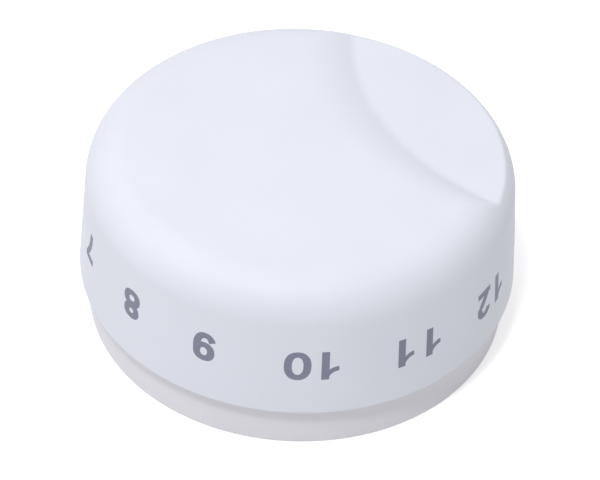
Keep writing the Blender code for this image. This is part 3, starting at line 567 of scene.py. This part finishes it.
def figureStrokes(figure):
    # the strokes of one figure, one unit tall from its foot, as pairs of edges
    stem, bar = numerals["stem"], numerals["bar"]
    if figure == 0:
        return [bowl(0.39, 0.5, 0.39, 0.505)], 0.78
    if figure == 1:
        flag = curved(((0.0, 0.70), (0.20, 0.78), (0.31, 1.0)),
                      ((0.0, 0.54), (0.17, 0.58), (0.31, 0.68)))
        return [block(0.505 - stem, 0.505, 0.0, 1.0), flag], 0.505
    if figure == 2:
        slope = curved(((0.62, 0.565), (0.49, 0.37), (0.27, 0.12)),
                       ((0.405, 0.62), (0.24, 0.42), (0.0, 0.10)))
        return [bowl(0.335, 0.69, 0.335, 0.315, 172, -24), slope, block(0.0, 0.665, 0.0, bar)], 0.67
    if figure == 3:
        return [bowl(0.325, 0.735, 0.305, 0.27, 165, -90), bowl(0.33, 0.285, 0.335, 0.295, 90, -165),
                block(0.20, 0.34, 0.45, 0.60)], 0.665
    if figure == 4:
        slope = straight(((0.0, 0.38), (0.42, 1.0)), ((0.20, 0.38), (0.42, 0.72)))
        return [block(0.40, 0.61, 0.0, 1.0), block(0.0, 0.72, 0.21, 0.385), slope], 0.72
    if figure == 5:
        back = straight(((0.115, 1.0), (0.035, 0.47)), ((0.30, 1.0), (0.225, 0.47)))
        lower = bowl(0.33, 0.325, 0.335, 0.335, 128, -165)
        return [block(0.115, 0.63, 1.0 - bar, 1.0), back, lower], 0.67
    if figure == 6:
        return [bowl(0.345, 0.325, 0.335, 0.33), bowl(0.375, 0.47, 0.37, 0.535, 195, 28)], 0.69
    if figure == 7:
        slope = curved(((0.665, 0.86), (0.43, 0.46), (0.345, 0.0)),
                       ((0.43, 0.86), (0.19, 0.44), (0.12, 0.0)))
        return [block(0.0, 0.665, 1.0 - bar, 1.0), slope], 0.665
    if figure == 8:
        return [bowl(0.34, 0.735, 0.315, 0.27), bowl(0.34, 0.285, 0.34, 0.292)], 0.68
    strokes, width = figureStrokes(6)   # nine is six turned half round
    return [tuple([width, 1.0] - edge for edge in stroke) for stroke in strokes], width


def strokeGrid(edges, shift, heading, lift):
    # a slab over the strip between two edges, wrapped on the wall: along the strip by across, out to the
    # ink's face and back to its sunk underside; figures stand upside down, so x runs clockwise and y runs
    # down
    first, second = [np.asarray(edge) * numerals["height"] for edge in edges]
    outline = np.stack([first, (first + second) / 2, second], axis=1)
    slope = cap["draft"] / (cap["top"] - cap["edgeRadius"] - cap["rim"])
    middle = numerals["middle"] - numerals["lean"] * math.cos(math.radians(heading))
    height = middle + numerals["height"] / 2 - outline[..., 1]
    wall = cap["radius"] - slope * (height - cap["rim"])
    turn = math.radians(heading) - (outline[..., 0] + shift) / cap["radius"]
    layers = []
    for out in (numerals["proud"] + lift, -numerals["sunk"]):
        layers.append(np.stack([(wall + out) * np.cos(turn), (wall + out) * np.sin(turn), height], axis=-1))
    return np.concatenate([layers[0], layers[1][:, ::-1]], axis=1)


def labelGrids(number):
    # the strokes of a level's one or two figures, centred on its heading
    figures = [int(digit) for digit in str(number)]
    grids, rings = [], []
    for place, figure in enumerate(figures):
        strokes, width = figureStrokes(figure)
        middle = (place - (len(figures) - 1) / 2) * numerals["advance"] * numerals["height"]
        shift = middle - width * numerals["height"] / 2
        for order, stroke in enumerate(strokes):
            grid = strokeGrid(stroke, shift, numerals["headings"][number], numerals["lift"] * order)
            closed = np.allclose(stroke[0][0], stroke[0][-1])
            (rings if closed else grids).append(grid[:-1] if closed else grid)
    return grids, rings


def numeralsMesh():
    # open strokes are capped at both ends and closed ones run round; both go into one mesh
    grids, rings = [], []
    for number in range(positions):
        some, others = labelGrids(number)
        grids += some
        rings += others
    strips = gridsMesh("numerals", grids, caps=True)
    loops = gridsMesh("numeral_rings", rings, wrapRows=True)
    shape = bmesh.new()
    shape.from_mesh(strips)
    shape.from_mesh(loops)
    shape.to_mesh(strips)
    shape.free()
    finishShading(strips, 40)
    return strips


makePiece("level_numerals", numeralsMesh(), numeralInk, "dial")
print("printed levels made")

base = {
    "radius": 21.1,
    "height": 4.6,
    "wall": 1.5,
    "foot": 0.3,
    "lip": 0.15,
    "floorLow": 1.6,
    "floorHigh": 2.6,
    "bearingBore": 2.9,
    "bearingOuter": 4.0,
    "bearingTop": 6.1,
    "wellInner": 14.4,
    "wellOuter": 15.5,
    "wellTop": 10.037,
    "edge": 0.12,
    "columns": 240,
    "bossCircle": 12.8,
    "bossRadius": 1.7,
    "bossEdge": 0.15,
    "mountTop": 6.5,
    "mountPilot": (0.85, 5.5),
    "plateTop": 9.837,
    "platePilot": (1.1, 5.337),
    "mountHeadings": (90, 210, 330),
    "screwHeadings": (30, 150, 270),
    "stakeCircle": 9.6,
    "stakeSteps": (1.5, 5.5, 9.5),
    "stake": (0.5, 0.8, 4.2, 4.6),   # shank radius, head radius, head's underside and top
    "pinHole": 0.9,
    "pinHoleEdge": 0.05,
    "commonCircle": 6.2,
}
levelHeadings = [-pitch * step for step in range(1, positions)]
stakeHeadings = [-pitch * step for step in base["stakeSteps"]]


def baseShellGrid():
    # one section through ring wall, floor, well wall and bearing tube, turned about Z
    inside = base["radius"] - base["wall"]
    e = base["edge"]
    profile = rounded([
        (base["radius"], base["height"], base["lip"]),
        (base["radius"], 0.0, base["foot"]),
        (inside, 0.0, e),
        (inside, base["floorLow"], e),
        (base["bearingBore"], base["floorLow"], e),
        (base["bearingBore"], base["bearingTop"], e),
        (base["bearingOuter"], base["bearingTop"], e),
        (base["bearingOuter"], base["floorHigh"], e),
        (base["wellInner"], base["floorHigh"], e),
        (base["wellInner"], base["wellTop"], e),
        (base["wellOuter"], base["wellTop"], e),
        (base["wellOuter"], base["floorHigh"], e),
        (inside, base["floorHigh"], e),
        (inside, base["height"], e),
    ], closed=True, steps=3)
    return turnedGrid(profile, circleSteps(base["columns"]))


def rodGrid(radius, low, high, rounding, circle, heading, columns=48):
    # a rod with eased ends: its half section turned about its own axis, then moved out along the heading
    corners = [(0.0, high, 0), (radius, high, rounding), (radius, low, rounding), (0.0, low, 0)]
    profile = rounded(corners, steps=3)
    return placedGrid(turnedGrid(profile, circleSteps(columns, 180 / columns)), circle, heading)


def rods(radius, low, high, rounding, circle, headings, columns=48):
    # the same rod at each of several headings
    return [rodGrid(radius, low, high, rounding, circle, heading, columns) for heading in headings]


def pinHoles(low, high):
    # the tools that cut the thirteen pins' holes
    radius, edge = base["pinHole"], base["pinHoleEdge"]
    holes = rods(radius, low, high, edge, base["stakeCircle"], levelHeadings, 32)
    return holes + rods(radius, low, high, edge, base["commonCircle"], [0.0], 32)


def baseMesh():
    # bosses and stakes are joined to the shell, then the pilots and the pins' holes are cut
    shank, head, under, top = base["stake"]
    radius, edge, circle = base["bossRadius"], base["bossEdge"], base["bossCircle"]
    solids = rods(radius, 0.0, base["mountTop"], edge, circle, base["mountHeadings"])
    solids += rods(radius, 2.0, base["plateTop"], edge, circle, base["screwHeadings"])
    shanks = rods(shank, 2.0, under + 0.2, 0.05, base["stakeCircle"], stakeHeadings, 24)
    heads = rods(head, under, top, 0.12, base["stakeCircle"], stakeHeadings, 32)
    pilot, depth = base["mountPilot"]
    holes = rods(pilot, -1.0, depth, 0.1, circle, base["mountHeadings"], 40)
    pilot, depth = base["platePilot"]
    holes += rods(pilot, depth, 12.0, 0.1, circle, base["screwHeadings"], 40)
    holes += pinHoles(1.0, 3.2)
    shell = gridsMesh("base_shell", [baseShellGrid()], wrapRows=True)
    return combined("base_shell", shell, [
        ("UNION", gridsMesh("bosses", solids)),
        ("UNION", gridsMesh("stake_shanks", shanks)),
        ("UNION", gridsMesh("stake_heads", heads)),
        ("DIFFERENCE", gridsMesh("holes", holes)),
    ])


baseShell = makePiece("base_shell", baseMesh(), basePlastic, "base", ["base_ring"])
print("base made:", len(baseShell.data.polygons), "faces")

# the mechanism inside, from the studs up
studs = {
    "circle": 9.6,
    "headRadius": 1.2,
    "bottom": 4.2,
    "top": 4.8,
    "dome": 0.25,        # how far the head's edge lies below its middle
    "pin": 0.6,
    "end": 0.3,
    "taper": 0.33,
}


def studGrid(heading):
    # half section of a contact stud turned about its own axis: the dome falls by the square of the radius
    reach = np.linspace(0, 0.9, 7)
    dome = [(studs["headRadius"] * part, studs["top"] - studs["dome"] * part**2, 0) for part in reach]
    profile = rounded(dome + [
        (studs["headRadius"], studs["top"] - studs["dome"], 0.08),
        (studs["headRadius"], studs["bottom"], 0.06),
        (studs["pin"], studs["bottom"], 0.08),
        (studs["pin"], studs["end"] + studs["taper"], 0.12),
        (studs["pin"] / 2, studs["end"], 0.1),
        (0.0, studs["end"], 0),
    ], steps=3, guard=0.01)
    return placedGrid(turnedGrid(profile, circleSteps(40)), studs["circle"], heading)


def ringGrid(inner, outer, low, high, edge, columns=144):
    # a flat ring's rounded section turned about Z
    corners = [(outer, high, edge), (outer, low, edge), (inner, low, edge), (inner, high, edge)]
    section = rounded(corners, closed=True, steps=3, guard=0.02)
    return turnedGrid(section, circleSteps(columns))


def ringSheet(name, ring):
    # a flat ring as a mesh, from the sizes in its dictionary
    grid = ringGrid(ring["inner"], ring["outer"], ring["low"], ring["high"], ring["edge"])
    return gridsMesh(name, [grid], wrapRows=True)


def blockGrid(depth, width, low, high, radius, heading, ease=0.08):
    # a block: its outline with eased corners carried up Z, pulled in by the ease at both ends
    x, y = depth / 2, width / 2
    corners = [(x, -y, ease), (x, y, ease), (-x, y, ease), (-x, -y, ease)]
    outline = rounded(corners, closed=True, steps=3, guard=0.01)
    layers = []
    for z, pull in ((low, ease), (low + ease, 0.0), (high - ease, 0.0), (high, ease)):
        layers.append(np.column_stack([outline * [1 - pull / x, 1 - pull / y], np.full(len(outline), z)]))
    return placedGrid(np.stack(layers), radius, heading)


def stripGrid(strip):
    # a strip: its rounded section set square to the path at each of the path's points, which lies in X and Z
    ends = (0, len(strip["path"]) - 1)
    corners = [(x, z, 0 if i in ends else strip["bend"]) for i, (x, z) in enumerate(strip["path"])]
    path = rounded(corners, steps=5, guard=0.01)
    along = np.gradient(path, axis=0)
    along /= np.linalg.norm(along, axis=1)[:, None]
    out = np.stack([-along[:, 1], along[:, 0]], axis=1)
    y, t = strip["width"] / 2, strip["thickness"] / 2
    edges = [(y, -t, 0.05), (y, t, 0.05), (-y, t, 0.05), (-y, -t, 0.05)]
    section = rounded(edges, closed=True, steps=2, guard=0.01)
    x = path[:, 0][:, None] + out[:, 0][:, None] * section[:, 1][None, :]
    z = path[:, 1][:, None] + out[:, 1][:, None] * section[:, 1][None, :]
    return np.stack([x, np.repeat(section[:, 0][None, :], len(path), 0), z], axis=-1)


ball = {"radius": 1.25, "centre": 9.037, "headings": (90.0, 90.0 + 6 * pitch)}


def ballGrid(heading):
    # a sphere: radius and height are the sine and cosine of the turn from its top
    turn = np.linspace(0, math.pi, 33)
    height = ball["centre"] + ball["radius"] * np.cos(turn)
    profile = np.stack([ball["radius"] * np.sin(turn), height], axis=1)
    return placedGrid(turnedGrid(profile, circleSteps(64)), rotor["bossCircle"], heading)


screw = {
    "head": 1.6,
    "headHeight": 1.1,
    "face": 1.08,        # radius of the head's nearly level top
    "rise": 0.12,
    "core": 0.6,
    "crest": 0.8,
    "lead": 0.8,
    "length": 5.5,
    "neck": 0.35,        # plain length under the head
    "runIn": 0.5,        # length over which the thread grows
    "tip": 0.7,
    "gap": 0.3,
    "arm": 1.0,
    "armWidth": 0.45,
    "armRise": 0.45,     # share of the drive's depth lost at the arms' ends
    "driveDepth": 0.6,
    "driveEase": 0.07,
    "columns": 96,
}


def driveDepth(x, y):
    # two crossed slots whose floors rise towards the arms' ends, with walls that slope over the ease
    def slot(u, v):
        half = screw["armWidth"] / 2 + screw["driveEase"] / 2
        across = np.clip((half - np.abs(v)) / screw["driveEase"], 0, 1)
        along = np.clip((screw["arm"] - np.abs(u)) / screw["driveEase"], 0, 1)
        return across * along * (1 - screw["armRise"] * np.abs(u) / screw["arm"])
    return screw["driveDepth"] * np.maximum(slot(x, y), slot(y, x))


def screwGrid(heading):
    # rows run from the middle of the head out over it, in under it and down the thread to the point; the
    # thread's crest stands out where the height over the lead plus the share of a turn is near a half
    angle = np.radians(circleSteps(screw["columns"]))
    under = coverPlate["high"] + screw["gap"]
    top = under + screw["headHeight"]
    reach = np.linspace(0, screw["face"], 25)
    rise = top - screw["rise"] * (reach / screw["head"])**2
    edge = rounded([
        (reach[-1], rise[-1], 0),
        (screw["head"], rise[-1] - 0.12, 0.3),
        (screw["head"], under, 0.08),
        (screw["core"], under, 0.1),
        (screw["core"], under - 0.3, 0),
    ], steps=5, guard=0.01)[1:]
    down = np.arange(screw["neck"], screw["length"], 0.05)
    core = screw["core"] * np.clip((screw["length"] - down) / screw["tip"], 0, 1)**0.7
    ones = np.ones(len(angle))
    radius = np.concatenate([reach, edge[:, 0], core, [0.0]])[:, None] * ones
    height = np.concatenate([rise, edge[:, 1], under - down, [under - screw["length"]]])[:, None] * ones
    start = len(reach) + len(edge)
    phase = (height[start:-1] / screw["lead"] + angle / math.tau) % 1.0
    grown = np.clip((down - screw["neck"]) / screw["runIn"], 0, 1)
    ends = grown * np.clip((screw["length"] - down) / screw["tip"], 0, 1)
    ridge = (screw["crest"] - screw["core"]) * np.clip(1 - np.abs(phase - 0.5) / 0.2, 0, 1)
    radius[start:-1] += ridge * ends[:, None]
    x, y = radius * np.cos(angle), radius * np.sin(angle)
    height[:len(reach)] -= driveDepth(x[:len(reach)], y[:len(reach)])
    return placedGrid(np.stack([x, y, height], axis=-1), base["bossCircle"], heading)


rotor = {
    "radius": 10.8,
    "low": 6.4,
    "high": 8.0,
    "edge": 0.2,
    "journal": 2.6,
    "foot": 1.6,
    "spindle": 3.0,
    "top": 17.0,
    "chamfer": 0.4,
    "flat": 2.2,
    "flatLow": 11.437,
    "bossCircle": 7.0,
    "bossRadius": 2.2,
    "bossLow": 5.1,
    "bossTop": 10.037,
    "pocket": 1.55,
    "pocketLow": 5.8,
    "lug": (1.1, 1.8, 1.9),                 # depth, width and rise above the disc
    "stopCircle": 9.9,
    "stake": (7.9, 0.45, 0.85, 5.1, 5.5),   # circle, shank, head, the head's underside and top
}


def rotorMesh():
    # turned body, with spring bosses, stop lug and wiper stake joined, then pockets and the spindle's
    # flat cut
    edge = rotor["edge"]
    profile = rounded([
        (0.0, rotor["top"], 0),
        (rotor["spindle"], rotor["top"], rotor["chamfer"]),
        (rotor["spindle"], rotor["high"], 0.15),
        (rotor["radius"], rotor["high"], edge),
        (rotor["radius"], rotor["low"], edge),
        (rotor["journal"], rotor["low"], 0.1),
        (rotor["journal"], rotor["foot"], rotor["chamfer"]),
        (0.0, rotor["foot"], 0),
    ], steps=4)
    depth, width, rise = rotor["lug"]
    circle, shank, head, low, high = rotor["stake"]
    places = (rotor["bossCircle"], ball["headings"])
    body = gridsMesh("rotor_body", [turnedGrid(profile, circleSteps(144))])
    bosses = rods(rotor["bossRadius"], rotor["bossLow"], rotor["bossTop"], 0.12, *places)
    pockets = rods(rotor["pocket"], rotor["pocketLow"], rotor["bossTop"] + 1, 0.1, *places)
    foot, crown = rotor["high"] - 0.4, rotor["high"] + rise
    lug = blockGrid(depth, width, foot, crown, rotor["stopCircle"], 180 - pitch / 2)
    flat = blockGrid(3.0, 9.0, rotor["flatLow"], rotor["top"] + 1, rotor["flat"] + 1.5, 0.0, 0.05)
    return combined("moulded_rotor", body, [
        ("UNION", gridsMesh("spring_bosses", bosses)),
        ("UNION", gridsMesh("stop_lug", [lug], caps=True)),
        ("UNION", gridsMesh("stake", [rodGrid(shank, high - 0.2, rotor["low"] + 0.4, 0.05, circle, 0.0)])),
        ("UNION", gridsMesh("stake_head", [rodGrid(head, low, high, 0.12, circle, 0.0)])),
        ("DIFFERENCE", gridsMesh("pockets", pockets)),
        ("DIFFERENCE", gridsMesh("flat", [flat], caps=True)),
    ])


coverPlate = {
    "inner": 3.3,
    "outer": 15.2,
    "low": 10.337,
    "high": 11.137,
    "edge": 0.1,
    "detentHole": 1.0,
    "screwHole": 1.1,
    "slot": (1.6, 2.5, 11.5),   # depth, width and circle
    "tab": (0.8, 2.2, 1.6),     # thickness, width and drop below the plate
}


def coverPlateMesh():
    # a flat ring less its detent and screw holes and the tab's slot, with the bent tab joined on
    low, high = coverPlate["low"] - 1, coverPlate["high"] + 1
    detents = [90 + pitch * i for i in range(positions)]
    holes = rods(coverPlate["detentHole"], low, high, 0.1, rotor["bossCircle"], detents, 40)
    holes += rods(coverPlate["screwHole"], low, high, 0.1, base["bossCircle"], base["screwHeadings"], 40)
    slotDepth, slotWidth, slotCircle = coverPlate["slot"]
    thickness, tabWidth, tabLength = coverPlate["tab"]
    slot = blockGrid(slotDepth, slotWidth, low, high, slotCircle, 180.0, 0.15)
    tabLow, tabHigh = coverPlate["low"] - tabLength, coverPlate["low"] + 0.4
    tab = blockGrid(thickness, tabWidth, tabLow, tabHigh, rotor["stopCircle"], 180.0)
    return combined("cover_plate", ringSheet("sheet", coverPlate), [
        ("DIFFERENCE", gridsMesh("plate_holes", holes)),
        ("DIFFERENCE", gridsMesh("tab_slot", [slot], caps=True)),
        ("UNION", gridsMesh("stop_tab", [tab], caps=True)),
    ])


board = {"inner": 4.5, "outer": 10.8, "low": 2.9, "high": 3.9, "edge": 0.08, "stakeHole": 0.8}


def boardMesh():
    # a flat ring less the pins' and stakes' holes
    holes = pinHoles(2.0, 4.8)
    holes += rods(board["stakeHole"], 2.0, 4.8, 0.05, studs["circle"], stakeHeadings, 32)
    tools = [("DIFFERENCE", gridsMesh("board_holes", holes))]
    return combined("stud_board", ringSheet("laminate", board), tools)


common = {"circle": 6.2, "width": 2.0, "thickness": 0.5, "edge": 0.1}


def commonMesh():
    # a flat ring with its pin joined on below
    low = studs["bottom"]
    half = common["width"] / 2
    top = low + common["thickness"]
    ring = ringGrid(common["circle"] - half, common["circle"] + half, low, top, common["edge"])
    pin = rodGrid(studs["pin"], studs["end"], low + common["thickness"] / 2, 0.15, common["circle"], 0.0, 40)
    joined = [("UNION", gridsMesh("pin", [pin]))]
    return combined("common_ring", gridsMesh("ring", [ring], wrapRows=True), joined)


wiperStrip = {
    "width": 2.8,
    "thickness": 0.3,
    "bend": 0.5,
    "slot": 0.5,
    "hole": 0.75,
    "path": [(5.4, 5.6), (6.2, 5.25), (6.9, 5.95), (8.9, 5.95), (9.6, 5.25), (10.4, 5.6)],
}
clipStrip = {
    "width": 2.8,
    "thickness": 0.3,
    "bend": 0.4,
    "path": [(2.65, 16.4), (2.65, 11.887), (5.35, 11.887), (5.35, 13.937)],
}


def wiperMesh():
    # a bent strip less the stake's hole and the slots that fork both its ends
    first, last = wiperStrip["path"][0][0], wiperStrip["path"][-1][0]
    hole = rodGrid(wiperStrip["hole"], 5.0, 7.0, 0.05, rotor["stake"][0], 0.0, 40)
    slots = [blockGrid(2.3, wiperStrip["slot"], 4.0, 7.0, x, 0.0, 0.1) for x in (first, last)]
    return combined("bent_wiper", gridsMesh("strip", [stripGrid(wiperStrip)], caps=True), [
        ("DIFFERENCE", gridsMesh("hole", [hole])),
        ("DIFFERENCE", gridsMesh("slots", slots, caps=True)),
    ])


for number in range(1, positions):
    name = f"{number:02d}"
    mesh = gridsMesh("stud_" + name, [studGrid(-pitch * number)])
    makePiece("stud_" + name, mesh, silverPlate, "base", ["contact_" + name])
makePiece("common_ring", commonMesh(), silverPlate, "base", ["common_contact"])
makePiece("stud_board", boardMesh(), brownPhenolic, "base", ["contact_board"])
makePiece("cover_plate", coverPlateMesh(), zincPlate, "base", ["index_plate"])
for number, heading in enumerate(base["screwHeadings"], start=1):
    name = f"cover_screw_{number}"
    mesh = gridsMesh(name, [screwGrid(heading)], sharpAngle=45)
    makePiece(name, mesh, zincPlate, "base", [f"plate_screw_{number}"])
makePiece("moulded_rotor", rotorMesh(), blackAcetal, "dial", ["rotor"])
makePiece("bent_wiper", wiperMesh(), springBronze, "dial", ["wiper"])
clipMesh = gridsMesh("leaf_clip", [stripGrid(clipStrip)], caps=True)
makePiece("leaf_clip", clipMesh, springSteel, "dial", ["shaft_clip"])
for number, (heading, body) in enumerate(zip(ball["headings"], ("first_ball", "second_ball")), start=1):
    mesh = gridsMesh(f"ball_{number}", [ballGrid(heading)], sharpAngle=60)
    makePiece(f"ball_{number}", mesh, ballSteel, body, [f"detent_ball_{number}"])
print("inner parts made")

nodeFinishes = [
    ("contact_board", brownPhenolic),
    ("common_contact", silverPlate),
    ("contact_", silverPlate),
    ("wiper", springBronze),
    ("rotor", blackAcetal),
    ("index_plate", zincPlate),
    ("plate_screw", zincPlate),
    ("detent_ball", ballSteel),
    ("detent_spring", springSteel),
    ("shaft_clip", springSteel),
    ("dial_cap", capPlastic),
    ("base_ring", basePlastic),
]
for node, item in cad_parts.items():
    finish = next(material for start, material in nodeFinishes if node.startswith(start))
    if not item.material_slots:
        item.data.materials.append(finish)
    for place in item.material_slots:
        place.material = finish
print("finishes on the inner parts")

stage = {
    "floorSize": 3000.0,
    "floorColour": (0.80, 0.80, 0.80),
    "floorGlow": 0.5,
    "worldLight": 0.445,
    "lamps": [
        # name, heading, elevation, distance, size, strength, colour
        ("key", -110, 65, 600, 90, 1.1, (1.0, 1.0, 1.0)),
        ("side", -145, 60, 350, 260, 0.21, (1.0, 1.0, 1.0)),
        ("back", 120, 55, 700, 420, 0.74, (1.0, 1.0, 1.0)),
    ],
    "target": (0.0, 0.0, 4.9),
    "cameraHeading": -88.17,
    "cameraElevation": 43.39,
    "cameraDistance": 264.0,
    "cameraRoll": 2.66,
    "lens": 156.07,
    "shift": (0.005, 0.02667),
}


def backgroundRays(tree):
    # 1 for rays that come from the camera, a mirror or glass, else 0
    path = tree.nodes.new("ShaderNodeLightPath")
    both = tree.nodes.new("ShaderNodeMath")
    both.operation = "MAXIMUM"
    tree.links.new(path.outputs["Is Camera Ray"], both.inputs[0])
    tree.links.new(path.outputs["Is Glossy Ray"], both.inputs[1])
    every = tree.nodes.new("ShaderNodeMath")
    every.operation = "MAXIMUM"
    tree.links.new(both.outputs[0], every.inputs[0])
    tree.links.new(path.outputs["Is Transmission Ray"], every.inputs[1])
    return every.outputs[0]


def makeFloor():
    # a level sheet just under the seating face; its glow is seen by the camera and lights nothing
    half = stage["floorSize"] / 2
    steps = np.linspace(-half, half, 13)
    x, y = np.meshgrid(steps, steps, indexing="ij")
    grid = np.stack([x, y, np.full_like(x, -0.02)], axis=-1)
    mesh = bpy.data.meshes.new("stage_floor")
    mesh.from_pydata(grid.reshape(-1, 3) * millimetre, [], gridFaces(13, 13, False, False).tolist())
    floor = bpy.data.objects.new("stage_floor", mesh)
    bpy.context.scene.collection.objects.link(floor)
    material, tree, shader = newFinish("floor_white", 0.9)
    cloud = noise(tree, objectPlace(tree), 40.0, 2.0)
    colour = stage["floorColour"]
    colours = spread(tree, cloud, [(0.3, colour), (0.7, tone(colour, 1.01))])
    tree.links.new(colours, shader.inputs["Base Color"])
    shader.inputs["Specular IOR Level"].default_value = 0.0
    glow = tree.nodes.new("ShaderNodeMath")
    glow.operation = "MULTIPLY"
    glow.inputs[1].default_value = stage["floorGlow"]
    tree.links.new(backgroundRays(tree), glow.inputs[0])
    shader.inputs["Emission Color"].default_value = (1, 1, 1, 1)
    tree.links.new(glow.outputs[0], shader.inputs["Emission Strength"])
    mesh.materials.append(material)


def makeWorld():
    # even light from all round, and plain white where the background itself is seen
    world = bpy.data.worlds.new("studio")
    bpy.context.scene.world = world
    world.use_nodes = True
    tree = world.node_tree
    background = tree.nodes["Background"]
    background.inputs["Color"].default_value = (1, 1, 1, 1)
    strength = tree.nodes.new("ShaderNodeMapRange")
    strength.inputs["To Min"].default_value = stage["worldLight"]
    strength.inputs["To Max"].default_value = 1.0
    tree.links.new(backgroundRays(tree), strength.inputs["Value"])
    tree.links.new(strength.outputs["Result"], background.inputs["Strength"])


def spherePoint(heading, elevation, distance):
    # the point at a heading, an elevation and a distance from the origin
    a, b = math.radians(heading), math.radians(elevation)
    return Vector((math.cos(a) * math.cos(b), math.sin(a) * math.cos(b), math.sin(b))) * distance * millimetre


def makeLamp(name, heading, elevation, distance, size, strength, colour):
    # a round soft lamp on a sphere about the origin, which it faces
    light = bpy.data.lights.new(name, "AREA")
    light.shape = "DISK"
    light.size = size * millimetre
    light.energy = strength
    light.color = colour
    lamp = bpy.data.objects.new(name, light)
    bpy.context.scene.collection.objects.link(lamp)
    lamp.location = spherePoint(heading, elevation, distance)
    lamp.rotation_euler = (-lamp.location).to_track_quat("-Z", "Y").to_euler()


def makeCamera():
    # the camera looks at its target from its heading, elevation and distance, turned by its roll
    data = bpy.data.cameras.new("camera")
    camera = bpy.data.objects.new("camera", data)
    bpy.context.scene.collection.objects.link(camera)
    target = Vector(stage["target"]) * millimetre
    place = target + spherePoint(stage["cameraHeading"], stage["cameraElevation"], stage["cameraDistance"])
    aim = (target - place).to_track_quat("-Z", "Y").to_matrix().to_4x4()
    roll = Matrix.Rotation(math.radians(stage["cameraRoll"]), 4, "Z")
    camera.matrix_world = Matrix.Translation(place) @ aim @ roll
    data.sensor_width = 36.0
    data.lens = stage["lens"]
    data.shift_x, data.shift_y = stage["shift"]
    data.clip_start = 0.01
    bpy.context.scene.camera = camera


makeFloor()
makeWorld()
for lamp in stage["lamps"]:
    makeLamp(*lamp)
makeCamera()
bpy.context.scene.view_settings.view_transform = "Standard"
print("stage, light and camera set")
